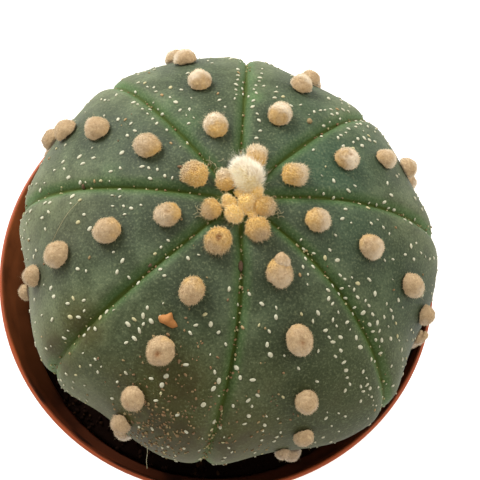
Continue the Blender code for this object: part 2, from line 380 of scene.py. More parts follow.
def ribbedBodyTree(material):
    tree, source = newTree("ribbedBody", {**stemSizes, "Skin": material})
    sizes = {label: source.outputs[label] for label in stemSizes}
    globe = addNode(tree, "GeometryNodeMeshUVSphere", {"Segments": sizes["Columns"], "Rings": sizes["Rows"]})
    place = addNode(tree, "ShaderNodeSeparateXYZ", {0: addNode(tree, "GeometryNodeInputPosition")})
    known = dict(sizes, x=place.outputs["X"], y=place.outputs["Y"], z=place.outputs["Z"])
    runSums(
        tree,
        known,
        (
            ("polar", "ARCCOSINE", "z"),
            ("angle", "ARCTAN2", "y", "x"),
            ("turns", "MULTIPLY", "angle", -0.5 / math.pi),
            ("wholeTurn", "FRACT", "turns"),
            ("columnFree", "MULTIPLY", "wholeTurn", "Columns"),
            ("columnNearest", "ROUND", "columnFree"),
            ("column", "MODULO", "columnNearest", "Columns"),
            ("ribPlace", "DIVIDE", "column", "Columns Per Rib"),
            ("ribNudged", "ADD", "ribPlace", 0.0001),
            ("rib", "FLOOR", "ribNudged"),
            ("nextRib", "ADD", "rib", 1.0),
            ("share", "SUBTRACT", "ribPlace", "rib"),
            ("shareTurn", "MULTIPLY", "share", 2 * math.pi),
            ("shareWave", "SINE", "shareTurn"),
            ("pull", "MULTIPLY", "shareWave", "Column Pull"),
            ("across", "SUBTRACT", "share", "pull"),
            ("acrossTwice", "MULTIPLY", "across", 2.0),
            ("fromCentre", "SUBTRACT", "acrossTwice", 1.0),
            ("side", "SIGN", "fromCentre"),
            ("besideFree", "ADD", "rib", "side"),
            ("beside", "WRAP", "besideFree", float(stem["ribs"]), 0.0),
        ),
    )
    wanted = {
        "first": ("rib", ("bearing", "turn", "fullness", "skew", "ease")),
        "second": ("nextRib", ("bearing", "turn", "ease")),
        "beside": ("beside", ("fullness",)),
    }
    for label, (index, attributes) in wanted.items():
        for attribute in attributes:
            read = addNode(tree, "GeometryNodeInputNamedAttribute", {"Name": attribute}, data_type="FLOAT")
            known[label + attribute.title()] = addNode(
                tree,
                "GeometryNodeSampleIndex",
                {"Geometry": source.outputs["Geometry"], "Value": read, "Index": known[index]},
                data_type="FLOAT",
                domain="POINT",
            )
    runSums(
        tree,
        known,
        (
            ("flank", "SINE", "polar"),
            ("upright", "COSINE", "polar"),
            # bearings turn on their way up to the crown
            ("upperPolar", "MINIMUM", "polar", math.pi / 2),
            ("upperSine", "SINE", "upperPolar"),
            ("crownWeight", "SUBTRACT", 1.0, "upperSine"),
            ("firstLine", "MULTIPLY_ADD", "firstTurn", "crownWeight", "firstBearing"),
            ("secondLine", "MULTIPLY_ADD", "secondTurn", "crownWeight", "secondBearing"),
            ("ribAngle", "SUBTRACT", "secondLine", "firstLine"),
            ("bearingOut", "MULTIPLY_ADD", "ribAngle", "across", "firstLine"),
            # each rib is as full as its own value in its middle, and halfway to its neighbour's at a groove
            ("centreTurn", "MULTIPLY", "fromCentre", math.pi / 2),
            ("centreWave", "COSINE", "centreTurn"),
            ("blend", "POWER", "centreWave", 2.0),
            ("blendMore", "ADD", "blend", 1.0),
            ("ownShare", "MULTIPLY", "blendMore", 0.5),
            ("fullnessStep", "SUBTRACT", "firstFullness", "besideFullness"),
            ("fullness", "MULTIPLY_ADD", "fullnessStep", "ownShare", "besideFullness"),
            ("skewSide", "MULTIPLY", "fromCentre", "firstSkew"),
            ("skewBump", "MULTIPLY", "skewSide", "blend"),
            ("fullnessSkewed", "SUBTRACT", "fullness", "skewBump"),
            ("easeStep", "SUBTRACT", "secondEase", "firstEase"),
            ("easeHere", "MULTIPLY_ADD", "easeStep", "across", "firstEase"),
            ("offMiddle", "SUBTRACT", 1.0, "blend"),
            ("fullnessEased", "MULTIPLY_ADD", "easeHere", "offMiddle", "fullnessSkewed"),
            ("excess", "SUBTRACT", "fullnessEased", 1.0),
            ("flankSquare", "POWER", "flank", 2.0),
            ("swell", "MULTIPLY_ADD", "excess", "flankSquare", 1.0),
            ("plainRadius", "MULTIPLY", "flank", "Radius"),
            ("fullRadius", "MULTIPLY", "plainRadius", "swell"),
            ("centreSquare", "POWER", "fromCentre", 2.0),
            ("crest", "SUBTRACT", 1.0, "centreSquare"),
            ("flatShare", "MULTIPLY", "crest", "flankSquare"),
            ("flatAmount", "MULTIPLY", "flatShare", "Flattening"),
            ("flatFactor", "SUBTRACT", 1.0, "flatAmount"),
            ("radiusBare", "MULTIPLY", "fullRadius", "flatFactor"),
            ("heightBare", "MULTIPLY", "upright", "Half Height"),
            # the groove: narrow by the crown, deeper and wider below
            ("edge", "ABSOLUTE", "fromCentre"),
            ("inset", "SUBTRACT", 1.0, "edge"),
            ("ribWidth", "ABSOLUTE", "ribAngle"),
            ("halfRib", "MULTIPLY", "ribWidth", 0.5),
            ("insetAngle", "MULTIPLY", "inset", "halfRib"),
            ("toGroove", "MULTIPLY", "insetAngle", "plainRadius"),
            ("flankFourth", "POWER", "flank", 4.0),
            ("widthStep", "SUBTRACT", "Low Groove Half Width", "High Groove Half Width"),
            ("halfWidth", "MULTIPLY_ADD", "widthStep", "flankFourth", "High Groove Half Width"),
            ("depthStep", "SUBTRACT", "Low Groove Depth", "High Groove Depth"),
            ("fullDepth", "MULTIPLY_ADD", "depthStep", "flankSquare", "High Groove Depth"),
            ("grooveShare", "DIVIDE", "toGroove", "halfWidth"),
            ("groovePower", "POWER", "grooveShare", "Groove Sharpness"),
            ("grooveFall", "MULTIPLY", "groovePower", -1.0),
            ("grooveShape", "EXPONENT", "grooveFall"),
            ("crownFadeFree", "DIVIDE", "flank", 0.22),
            ("crownFade", "MINIMUM", "crownFadeFree", 1.0),
            ("rootLeftFree", "SUBTRACT", "Root Start", "polar"),
            ("rootLeft", "ADD", "rootLeftFree", 0.35),
            ("rootShare", "DIVIDE", "rootLeft", 0.6),
            ("rootTop", "MINIMUM", "rootShare", 1.0),
            ("rootFade", "MAXIMUM", "rootTop", 0.0),
            ("fade", "MULTIPLY", "crownFade", "rootFade"),
            ("depthShare", "MULTIPLY", "fade", "grooveShape"),
            ("depth", "MULTIPLY", "depthShare", "fullDepth"),
            ("outwardX", "DIVIDE", "flank", "Radius"),
            ("outwardZ", "DIVIDE", "upright", "Half Height"),
            ("outwardXSquare", "POWER", "outwardX", 2.0),
            ("outwardZSquare", "MULTIPLY", "outwardZ", "outwardZ"),
            ("lengthSquare", "ADD", "outwardXSquare", "outwardZSquare"),
            ("length", "SQRT", "lengthSquare"),
            ("depthRatio", "DIVIDE", "depth", "length"),
            ("cutIn", "MULTIPLY", "depthRatio", "outwardX"),
            ("cutDown", "MULTIPLY", "depthRatio", "outwardZ"),
            ("radiusOut", "SUBTRACT", "radiusBare", "cutIn"),
            ("heightCut", "SUBTRACT", "heightBare", "cutDown"),
            # the growing point lies in a small dip
            ("dipShare", "DIVIDE", "radiusOut", "Crown Dip Radius"),
            ("dipSquare", "POWER", "dipShare", 2.0),
            ("dipFall", "MULTIPLY", "dipSquare", -1.0),
            ("dipShape", "EXPONENT", "dipFall"),
            ("dipDepth", "MULTIPLY", "dipShape", "Crown Dip"),
            ("onTop", "LESS_THAN", "polar", 1.5),
            ("dip", "MULTIPLY", "dipDepth", "onTop"),
            ("heightDipped", "SUBTRACT", "heightCut", "dip"),
            # the root tapers down into the soil
            ("pastRootFree", "SUBTRACT", "polar", "Root Start"),
            ("pastRoot", "MAXIMUM", "pastRootFree", 0.0),
            ("rootReach", "SUBTRACT", math.pi, "Root Start"),
            ("rootProgress", "DIVIDE", "pastRoot", "rootReach"),
            ("rootCurve", "POWER", "rootProgress", 2.0),
            ("rootDrop", "MULTIPLY", "rootCurve", "Root Length"),
            ("heightOut", "SUBTRACT", "heightDipped", "rootDrop"),
            ("cosine", "COSINE", "bearingOut"),
            ("sine", "SINE", "bearingOut"),
            ("xOut", "MULTIPLY", "radiusOut", "cosine"),
            ("yOut", "MULTIPLY", "radiusOut", "sine"),
            ("waveScale", "DIVIDE", 1.0, "Wave Size"),
        ),
    )
    moved = addNode(
        tree, "ShaderNodeCombineXYZ", {"X": known["xOut"], "Y": known["yOut"], "Z": known["heightOut"]}
    )
    geometry = globe.outputs["Mesh"]
    stored = {"toGroove": "toGroove", "polar": "polar", "ribEdge": "edge", "column": "column"}
    for label, value in stored.items():
        geometry = addNode(
            tree,
            "GeometryNodeStoreNamedAttribute",
            {"Geometry": geometry, "Name": label, "Value": known[value]},
            data_type="FLOAT",
            domain="POINT",
        )
    shaped = addNode(tree, "GeometryNodeSetPosition", {"Geometry": geometry, "Position": moved})
    # slow swells, as no rib grows quite evenly
    here = addNode(tree, "GeometryNodeInputPosition")
    swells = addNode(
        tree, "ShaderNodeTexNoise", {"Vector": here, "Scale": known["waveScale"], "Detail": 1.0}
    )
    runSums(
        tree,
        known,
        (("waveCentred", "SUBTRACT", swells, 0.5), ("wave", "MULTIPLY", "waveCentred", "Wave Depth")),
    )
    outwards = addNode(tree, "GeometryNodeInputNormal")
    push = addNode(tree, "ShaderNodeVectorMath", {0: outwards, "Scale": known["wave"]}, operation="SCALE")
    waved = addNode(tree, "GeometryNodeSetPosition", {"Geometry": shaped, "Offset": push})
    closeTree(tree, waved, source.outputs["Skin"])
    return tree


def makeStem(material):
    bearings = [math.radians(angle) for angle in stem["grooveBearing"]]
    turns = [math.radians(angle) for angle in stem["grooveTurn"]]
    bearings.append(bearings[0] - 2 * math.pi)
    turns.append(turns[0])
    shapes = {label: (*stem[label], stem[label][0]) for label in ("fullness", "skew", "ease")}
    seeds = seedMesh("ribLines", [(0, 0, 0)] * len(bearings), bearing=bearings, turn=turns, **shapes)
    inputs = {**stemSizes, "Skin": material}
    piece = growPiece("ribbedStem", seeds, ribbedBodyTree(material), inputs, ["stem"])
    lean = Matrix.Rotation(stem["leanY"], 4, "Y") @ Matrix.Rotation(stem["leanX"], 4, "X")
    piece.data.transform(Matrix.Translation(stem["centre"]) @ lean)
    return piece


class Skin:
    # reads the grown stem back as a grid, so that other pieces can be seated on it

    def __init__(self, mesh):
        count = len(mesh.vertices)
        places = np.empty(count * 3)
        polar = np.empty(count)
        column = np.empty(count)
        mesh.vertices.foreach_get("co", places)
        mesh.attributes["polar"].data.foreach_get("value", polar)
        mesh.attributes["column"].data.foreach_get("value", column)
        self.places = places.reshape(-1, 3)
        self.columns = stem["ribs"] * stem["columnsPerRib"]
        row = np.rint(polar / math.pi * stem["rows"]).astype(int)
        self.grid = np.zeros((stem["rows"] + 1, self.columns, 3))
        self.grid[row, np.rint(column).astype(int) % self.columns] = self.places
        self.grid[0] = self.places[polar.argmin()]
        self.grid[-1] = self.places[polar.argmax()]
        self.shares = np.linspace(0, 1, 201)
        self.acrosses = self.shares - stem["columnPull"] * np.sin(2 * math.pi * self.shares)

    def point(self, rib, across, polar):
        # rib 0 to 7 clockwise, across 0 to 1 from its first groove to its second, polar from the crown
        whole = math.floor(across)
        share = float(np.interp(across - whole, self.acrosses, self.shares))
        column = (rib + whole + share) * stem["columnsPerRib"]
        row = min(max(polar / math.pi * stem["rows"], 0.0), stem["rows"] - 1e-6)
        left, top = math.floor(column), math.floor(row)
        right, down = column - left, row - top
        near = [self.grid[r, c % self.columns] for r in (top, top + 1) for c in (left, left + 1)]
        upper = near[0] * (1 - right) + near[1] * right
        lower = near[2] * (1 - right) + near[3] * right
        return Vector(upper * (1 - down) + lower * down)

    def seat(self, rib, across, polar, lift=0.0, spin=0.0, step=0.02):
        # a frame on the skin: x down the rib, y across it, z straight out
        place = self.point(rib, across, polar)
        down = self.point(rib, across, polar + step) - self.point(rib, across, max(0.0, polar - step))
        sideways = self.point(rib, across - step, polar) - self.point(rib, across + step, polar)
        out = down.cross(sideways).normalized()
        down.normalize()
        turn = Matrix((down, out.cross(down), out)).transposed() @ Matrix.Rotation(spin, 3, "Z")
        return Matrix.Translation(place + out * lift) @ turn.to_4x4()

    def paint(self, mesh, label, spots):
        # a value on the skin that falls away round each spot: place, radius, strength
        value = np.zeros(len(self.places))
        for place, radius, strength in spots:
            gap = np.linalg.norm(self.places - np.array(place), axis=1)
            value = np.maximum(value, strength * np.exp(-((gap / radius) ** 2)))
        mesh.attributes.new(label, "FLOAT", "POINT").data.foreach_set("value", value.astype(np.float32))


# Felt: dense short wool of an areole, dry and matt. It is golden towards the crown, where it is youngest,
# and bleaches to a pinkish beige outwards and with age, with the odd brown dimple where a flower sat.
# A painted glow lifts its shaded side, and painted light makes the pads on the ribs at the back paler.
felt = {
    "wool": ("#c8a25e", "#af9574", "#998675", "#ddc69a"),  # young, grown and old wool, and its tips
    "bleached": "#cfc6ba",
    # the colour of the painted light on the pads
    "pale": "#dcceb8",
    "dimple": "#8a5426",
    "crumb": "#83613c",
    "paintedWoolGlow": 0.24,  # painted glow: the wool shines in its own colour to lift its shaded side
    "fibreSize": 0.00030,
    "cloudSize": 0.0013,
}


def makeFelt(name, young, grown, old, tip):
    material, tree, shader = newMaterial(name)
    where = addNode(tree, "ShaderNodeTexCoord").outputs["Object"]
    known = {}
    for label in ("padAge", "padPale", "hairTip", "dimple", "outerSide"):
        known[label] = addNode(tree, "ShaderNodeAttribute", attribute_name=label).outputs["Fac"]
    for label, size, twist in (("fibre", felt["fibreSize"], 0.6), ("clouds", felt["cloudSize"], 0.0)):
        settings = {"Vector": where, "Scale": 1 / size, "Detail": 2.0, "Distortion": twist}
        known[label] = addNode(tree, "ShaderNodeTexNoise", settings)
    runSums(
        tree,
        known,
        (
            # the side that faces away from the crown bleaches first; the pale coat is painted light, as
            # strong as its rib's paleness
            ("sideShare", "MULTIPLY", "outerSide", 1.8),
            ("cloudy", "MULTIPLY_ADD", "clouds", 3.0, "padAge"),
            ("bleach", "ADD", "sideShare", "cloudy"),
            ("paleAndLitSide", "MULTIPLY_ADD", "outerSide", 0.65, "clouds"),
            ("paleAndLitShare", "MULTIPLY", "paleAndLitSide", "padPale"),
        ),
    )
    coats = (
        (grown, "bleach", 1.7, 4.5, 1.0),
        (old, "bleach", 5.6, 8.6, 1.0),
        (felt["bleached"], "bleach", 7.8, 9.6, 1.0),
        # painted light: the pads of the ribs at the back are paler
        (felt["pale"], "paleAndLitShare", 0.10, 0.85, 0.90),
        (felt["crumb"], "fibre", 0.52, 0.76, 0.40),
        (tip, "fibre", 0.50, 0.28, 0.35),
        (felt["dimple"], "dimple", 0.02, 0.75, 0.85),
        (tip, "hairTip", 0.0, 0.9, 0.70),
    )
    colour = layCoats(tree, young, known, coats)
    # painted light: the wool glows in its own colour, lifting its shaded side
    tree.links.new(next(o for o in colour.outputs if o.enabled), shader.inputs["Emission Color"])
    dull = {"Emission_Strength": felt["paintedWoolGlow"], "Specular_IOR_Level": 0.1}
    finishMaterial(tree, shader, colour, 0.95, known["fibre"], 0.00006, **dull)
    return material


padSizes = {
    "Core Detail": 4,
    "Lump Size": 0.0012,
    "Lump Depth": 0.00050,
    "Grain Size": 0.00045,
    "Grain Depth": 0.00026,
    "Fuzz Density": 6.0e7,  # hairs for each square metre of pad
    "Fuzz Length": 0.00026,
    "Fuzz Slimness": 0.11,
    "Fuzz Spread": 0.7,
    "Wisp Density": 2.0e7,
    "Wisp Length": 0.00075,
    "Wisp Slimness": 0.012,
    "Wisp Spread": 0.55,
    "Comb": 1.0,
    "Seed": 5,
}
padDimpleDepth = 0.00045


def feltPadTree(material):
    tree, source = newTree("feltPads", {**padSizes, "Felt": material})
    size = source.outputs
    # the core: a ball with its lower half pressed flat
    ball = addNode(tree, "GeometryNodeMeshIcoSphere", {"Radius": 1.0, "Subdivisions": size["Core Detail"]})
    here = addNode(tree, "GeometryNodeInputPosition")
    place = addNode(tree, "ShaderNodeSeparateXYZ", {0: here})
    known = {"x": place.outputs["X"], "y": place.outputs["Y"], "z": place.outputs["Z"]}
    runSums(
        tree,
        known,
        (
            ("pressed", "MULTIPLY", "z", 1 / 6),
            ("higher", "MAXIMUM", "z", "pressed"),
            ("xSquare", "MULTIPLY", "x", "x"),
            ("offSquare", "MULTIPLY_ADD", "y", "y", "xSquare"),
            ("off", "SQRT", "offSquare"),
            ("offShare", "DIVIDE", "off", -0.42),
            ("dimpleFree", "ADD", "offShare", 1.0),
            ("dimpleTop", "MAXIMUM", "dimpleFree", 0.0),
            ("upper", "GREATER_THAN", "z", 0.0),
            ("dimpleShape", "MULTIPLY", "dimpleTop", "upper"),
        ),
    )
    geometry = ball.outputs["Mesh"]
    for label, value in (("dimpleShape", "dimpleShape"), ("outerSide", "x"), ("upSide", "z")):
        geometry = addNode(
            tree,
            "GeometryNodeStoreNamedAttribute",
            {"Geometry": geometry, "Name": label, "Value": known[value]},
            data_type="FLOAT",
            domain="POINT",
        )
    pressed = addNode(tree, "ShaderNodeCombineXYZ", {"X": known["x"], "Y": known["y"], "Z": known["higher"]})
    dome = addNode(tree, "GeometryNodeSetPosition", {"Geometry": geometry, "Position": pressed})
    read = {}
    for label, kind in (
        ("padTurn", "QUATERNION"),
        ("padSize", "FLOAT_VECTOR"),
        ("padComb", "FLOAT_VECTOR"),
        ("padWisp", "FLOAT"),
        ("padFuzz", "FLOAT"),
        ("padDimple", "FLOAT"),
        ("padLump", "FLOAT"),
        ("dimpleShape", "FLOAT"),
        ("outerSide", "FLOAT"),
        ("upSide", "FLOAT"),
    ):
        read[label] = addNode(tree, "GeometryNodeInputNamedAttribute", {"Name": label}, data_type=kind)
    pads = addNode(
        tree,
        "GeometryNodeInstanceOnPoints",
        {
            "Points": source.outputs["Geometry"],
            "Instance": dome,
            "Rotation": read["padTurn"],
            "Scale": read["padSize"],
        },
    )
    solid = addNode(tree, "GeometryNodeRealizeInstances", {"Geometry": pads})
    # lumps and felt grain push the core in and out
    where = addNode(tree, "GeometryNodeInputPosition")
    known = dict(read)
    for label in ("Lump", "Grain"):
        scale = addNode(tree, "ShaderNodeMath", {0: 1.0, 1: size[label + " Size"]}, operation="DIVIDE")
        known[label] = addNode(tree, "ShaderNodeTexNoise", {"Vector": where, "Scale": scale, "Detail": 1.0})
        known[label + " Depth"] = size[label + " Depth"]
    runSums(
        tree,
        known,
        (
            ("lumpCentred", "SUBTRACT", "Lump", 0.5),
            ("lumpDeep", "MULTIPLY", "lumpCentred", "Lump Depth"),
            ("lump", "MULTIPLY", "lumpDeep", "padLump"),
            ("grainCentred", "SUBTRACT", "Grain", 0.5),
            ("lumpAndGrain", "MULTIPLY_ADD", "grainCentred", "Grain Depth", "lump"),
            ("dimpled", "MULTIPLY", "dimpleShape", "padDimple"),
            ("push", "MULTIPLY_ADD", "dimpled", -padDimpleDepth, "lumpAndGrain"),
        ),
    )
    normal = addNode(tree, "GeometryNodeInputNormal")
    push = addNode(tree, "ShaderNodeVectorMath", {0: normal, "Scale": known["push"]}, operation="SCALE")
    marked = addNode(
        tree,
        "GeometryNodeStoreNamedAttribute",
        {"Geometry": solid, "Name": "dimple", "Value": known["dimpled"]},
        data_type="FLOAT",
        domain="POINT",
    )
    core = addNode(tree, "GeometryNodeSetPosition", {"Geometry": marked, "Offset": push})
    joined = [core]
    # hairs: slim three-sided cones stood on the core, the long ones bent and combed outwards
    rows = (("Fuzz", 1, 0.0, read["upSide"], -0.25), ("Wisp", 3, 0.35, read["outerSide"], 0.1))
    for number, (label, segments, bend, side, least) in enumerate(rows):
        cone = addNode(
            tree,
            "GeometryNodeMeshCone",
            {
                "Vertices": 3,
                "Side Segments": segments,
                "Radius Top": 0.0,
                "Radius Bottom": size[label + " Slimness"],
                "Depth": 1.0,
            },
        )
        along = addNode(tree, "ShaderNodeSeparateXYZ", {0: addNode(tree, "GeometryNodeInputPosition")})
        leaned = runSums(
            tree,
            {"along": along.outputs["Z"]},
            (("lean", "POWER", "along", 2.0), ("leanOut", "MULTIPLY", "lean", bend)),
        )
        offset = addNode(tree, "ShaderNodeCombineXYZ", {"X": leaned["leanOut"]})
        tipped = addNode(
            tree,
            "GeometryNodeStoreNamedAttribute",
            {"Geometry": cone.outputs["Mesh"], "Name": "hairTip", "Value": along.outputs["Z"]},
            data_type="FLOAT",
            domain="POINT",
        )
        hair = addNode(tree, "GeometryNodeSetPosition", {"Geometry": tipped, "Offset": offset})
        wanted = addNode(tree, "ShaderNodeMath", {0: side, 1: least}, operation="GREATER_THAN")
        density = size[label + " Density"]
        longest = size[label + " Length"]
        if label == "Wisp":
            density = addNode(tree, "ShaderNodeMath", {0: density, 1: read["padWisp"]}, operation="MULTIPLY")
        else:
            longest = addNode(tree, "ShaderNodeMath", {0: longest, 1: read["padFuzz"]}, operation="MULTIPLY")
        spots = addNode(
            tree,
            "GeometryNodeDistributePointsOnFaces",
            {"Mesh": core, "Selection": wanted, "Density": density, "Seed": size["Seed"]},
        )
        wobble = addNode(
            tree,
            "FunctionNodeRandomValue",
            {"Min": (-1.0, -1.0, -1.0), "Max": (1.0, 1.0, 1.0), "Seed": 11 + number},
            data_type="FLOAT_VECTOR",
        )
        spread = addNode(
            tree, "ShaderNodeVectorMath", {0: wobble, "Scale": size[label + " Spread"]}, operation="SCALE"
        )
        combed = addNode(
            tree, "ShaderNodeVectorMath", {0: read["padComb"], "Scale": size["Comb"]}, operation="SCALE"
        )
        aim = addNode(tree, "ShaderNodeVectorMath", {0: spots.outputs["Normal"], 1: spread}, operation="ADD")
        aim = addNode(tree, "ShaderNodeVectorMath", {0: aim, 1: combed}, operation="ADD")
        stood = addNode(tree, "FunctionNodeAlignRotationToVector", {"Vector": aim}, axis="Z")
        swing = addNode(
            tree,
            "FunctionNodeRandomValue",
            {"Min": 0.0, "Max": 2 * math.pi, "Seed": 21 + number},
            data_type="FLOAT",
        )
        spin = addNode(tree, "FunctionNodeAxisAngleToRotation", {"Axis": (0.0, 0.0, 1.0), "Angle": swing})
        turned = addNode(
            tree,
            "FunctionNodeRotateRotation",
            {"Rotation": stood, "Rotate By": spin},
            rotation_space="LOCAL",
        )
        length = addNode(
            tree,
            "FunctionNodeRandomValue",
            {"Min": 0.45, "Max": 1.25, "Seed": 31 + number},
            data_type="FLOAT",
        )
        scale = addNode(tree, "ShaderNodeMath", {0: length, 1: longest}, operation="MULTIPLY")
        hairs = addNode(
            tree,
            "GeometryNodeInstanceOnPoints",
            {"Points": spots.outputs["Points"], "Instance": hair, "Rotation": turned, "Scale": scale},
        )
        joined.append(hairs)
    together = addNode(tree, "GeometryNodeJoinGeometry")
    for part in reversed(joined):
        tree.links.new(part.outputs[0], together.inputs[0])
    closeTree(tree, together, source.outputs["Felt"])
    return tree


areole = {
    "reach": math.radians(110.0),
    "life": 9.36,
    "oldestAge": 8.1,
    "youngestAge": (1.67, 2.09, 2.30, 1.56, 1.69, 1.95, 1.38, 2.01),
    # the youngest of each rib still jostles its neighbours: across its rib, polar degrees, width in metres
    "youngestPlace": (
        (0.22, 5.3, 0.0028),
        (0.45, 11.4, 0.0030),
        (0.52, 14.6, 0.0033),
        (0.60, 6.2, 0.0028),
        (0.50, 8.7, 0.0029),
        (0.51, 11.5, 0.0033),
        (0.34, 6.8, 0.0026),
        (0.45, 11.3, 0.0032),
    ),
    "width": 0.0036,
    "growthAge": 0.95,
    "stretch": 0.18,
    "stretchAge": 3.5,
    "wearAge": 5.0,
    "wear": 0.05,
    "heightRatio": 0.52,
    "ribSize": (0.84, 0.82, 0.78, 0.82, 0.82, 0.80, 0.84, 0.88),  # against the law, felt and all
    "pale": (1.25, 1.6, 1.45, 0.6, 0.4, 0.15, 0.45, 0.55),  # how much paler each rib's pads are painted: painted light, strongest on the ribs at the back
    # pads that drifted off their rib's middle: across, and degrees down the rib
    "oddPlace": {
        (0, 1): (0.03, -1.0),
        (0, 2): (0.04, 1.0),
        (0, 3): (0.02, 1.8),
        (1, 1): (-0.02, -0.5),
        (1, 2): (0.00, 1.5),
        (2, 1): (-0.02, 0.5),
        (3, 1): (-0.03, 0.0),
        (3, 2): (-0.04, 0.0),
        (3, 3): (-0.02, 1.5),
        (4, 1): (0.00, -1.0),
        (4, 3): (0.00, 1.0),
        (5, 1): (0.02, -0.3),
        (5, 3): (0.00, 0.6),
        (6, 2): (0.04, 0.5),
        (6, 3): (0.02, 1.0),
        (6, 4): (0.00, -0.7),
        (7, 1): (0.04, 0.0),
        (7, 2): (0.03, 1.5),
        (4, 5): (0.08, 0.0),
        (6, 6): (0.0, 7.0),
        (3, 5): (0.03, 2.0),
    },
    # pads that stand out from their rib in size
    "oddSize": {
        (4, 0): 1.14,
        (5, 0): 1.10,
        (2, 0): 1.04,
        (7, 0): 1.04,
        (4, 1): 1.07,
        (4, 2): 1.05,
        (4, 3): 0.92,
        (4, 4): 0.88,
        (4, 5): 0.70,
        (5, 2): 1.12,
        (5, 4): 0.93,
        (5, 5): 0.70,
        (6, 4): 0.90,
        (6, 5): 0.72,
        (6, 6): 0.70,
        (3, 4): 0.88,
        (3, 5): 0.75,
    },
    "oddLength": {(4, 2): 1.12, (3, 3): 1.12, (3, 4): 1.10},
    # how the first pad of a rib, the second, and the rest are combed, lumpy, fuzzy and coloured by age
    "comb": (0.9, 0.3, 0.3),
    "lump": (1.15, 0.85, 0.85),
    "fuzz": (1.5, 1.0, 0.8),
    "ripeness": (0.5, 1.0, 1.0),
    # scraps of cream wool left on a pad's rim: rib, order, down the rib, across it and half size in metres
    "scraps": (
        (4, 1, -0.0012, 0.0006, 0.00100),
        (3, 5, -0.0008, 0.0002, 0.00070),
    ),
    "scrapLook": {"age": 4.6, "wisp": 0.05, "dimple": 0.0, "lump": 1.2, "fuzz": 0.9, "pale": 0.5},
    # pads with a brown dimple, by rib and order, and pads that trail a lock of wool
    "dimples": {(5, 0): 1.0, (5, 2): 0.7, (5, 3): 0.3, (7, 0): 0.5, (4, 2): 0.5, (2, 1): 0.5, (6, 1): 0.3},
    "locks": {(5, 0): 0.9, (3, 0): 1.5, (6, 0): 1.3, (2, 0): 1.0, (4, 0): 0.8, (1, 0): 0.9, (0, 1): 0.5},
}


def areolePolar(age):
    # how far down the rib an areole of this age has drifted
    return areole["reach"] / 2 * (1 - math.cos(math.pi * age / areole["life"]))


def padSeeds(name, rows):
    # each row holds a pad's seat, its half sizes, the way its wool is combed, and how it looks
    labels = ("Size", "Age", "Wisp", "Dimple", "Lump", "Comb", "Fuzz", "Pale")
    values = {"pad" + label: [row[label.lower()] for row in rows] for label in labels}
    places = [row["seat"].translation for row in rows]
    return seedMesh(name, places, padTurn=[row["seat"].to_quaternion() for row in rows], **values)


def areoleRows(skinMap):
    # one list of pads for each rib, from the crown down
    chance = np.random.default_rng(41)
    ribs = []
    for rib, youngest in enumerate(areole["youngestAge"]):
        rows = []
        for index in range(math.floor(areole["oldestAge"] - youngest) + 1):
            age = youngest + index
            across, polar = 0.5, areolePolar(age)
            width = areole["width"] * (1 - math.exp(-age / areole["growthAge"]))
            width *= 1 - areole["wear"] * max(0.0, age - areole["wearAge"])
            if index == 0:
                across, degrees, width = areole["youngestPlace"][rib]
                polar = math.radians(degrees)
            aside, lower = areole["oddPlace"].get((rib, index), (0.0, 0.0))
            across, polar = across + aside, polar + math.radians(lower)
            width *= areole["ribSize"][rib] * areole["oddSize"].get((rib, index), chance.uniform(0.97, 1.03))
            length = width * (1 + areole["stretch"] * min(1.0, age / areole["stretchAge"]))
            length *= areole["oddLength"].get((rib, index), 1.0)
            height = width * areole["heightRatio"] * chance.uniform(0.94, 1.1)
            seat = skinMap.seat(rib, across, polar, height / 5, chance.uniform(-0.25, 0.25))
            early = min(index, 2)
            ripe = areole["ripeness"][early]
            rows.append(
                {
                    "seat": seat,
                    "size": Vector((length / 2, width / 2, height)),
                    "age": age * ripe,
                    "wisp": areole["locks"].get((rib, index), 0.06),
                    "dimple": areole["dimples"].get((rib, index), 0.12 * chance.uniform()),
                    "lump": areole["lump"][early],
                    "comb": seat.col[0].xyz * areole["comb"][early],
                    "fuzz": areole["fuzz"][early],
                    "pale": areole["pale"][rib] * ripe,
                }
            )
        for _, index, down, aside, half in (row for row in areole["scraps"] if row[0] == rib):
            pad = rows[index]
            downRib, acrossRib, out = (pad["seat"].col[axis].xyz for axis in range(3))
            move = downRib * down + acrossRib * aside + out * pad["size"].z * 0.45
            size = Vector((half, half * 0.85, half * 0.9))
            seat = Matrix.Translation(move) @ pad["seat"]
            rows.append({**areole["scrapLook"], "seat": seat, "size": size, "comb": downRib})
        ribs.append(rows)
    return ribs


def makeAreoles(ribs, tree, material):
    for rib, rows in enumerate(ribs, 1):
        count = len(rows) - sum(scrap[0] == rib - 1 for scrap in areole["scraps"])
        names = [f"areole_rib{rib}_{number}" for number in range(1, count + 1)]
        inputs = {**padSizes, "Seed": padSizes["Seed"] + rib, "Felt": material}
        growPiece(f"feltPads_rib{rib}", padSeeds("padSeeds", rows), tree, inputs, names)


# The growing point: areoles in the making crowd round it as balls of golden wool
crown = {
    # rib, across, polar degrees, length and width in metres, height as a share of the width, wispiness
    "balls": (
        (6, 0.45, 2.2, 0.0017, 0.0017, 0.40, 0.9),
        (3, 0.90, 2.0, 0.0017, 0.0024, 0.60, 0.3),
        (5, 0.40, 4.1, 0.0021, 0.0021, 0.55, 0.6),
        (2, 0.52, 4.3, 0.0019, 0.0019, 0.45, 0.5),
        (4, 0.32, 4.6, 0.0012, 0.0012, 0.30, 1.4),
        (1, 0.40, 1.6, 0.0015, 0.0015, 0.35, 0.6),
    ),
    "fuzz": {
        "Fuzz Density": 9.0e7,
        "Lump Size": 0.0009,
        "Lump Depth": 0.00065,
        "Grain Depth": 0.00040,
        "Wisp Length": 0.0009,
    },
    "look": {"age": 1.0, "dimple": 0.0, "lump": 1.0, "fuzz": 1.3, "pale": 0.2},
    "wool": ("#dcb96e", "#e2c286", "#d0a870", "#f2e2b8"),
}


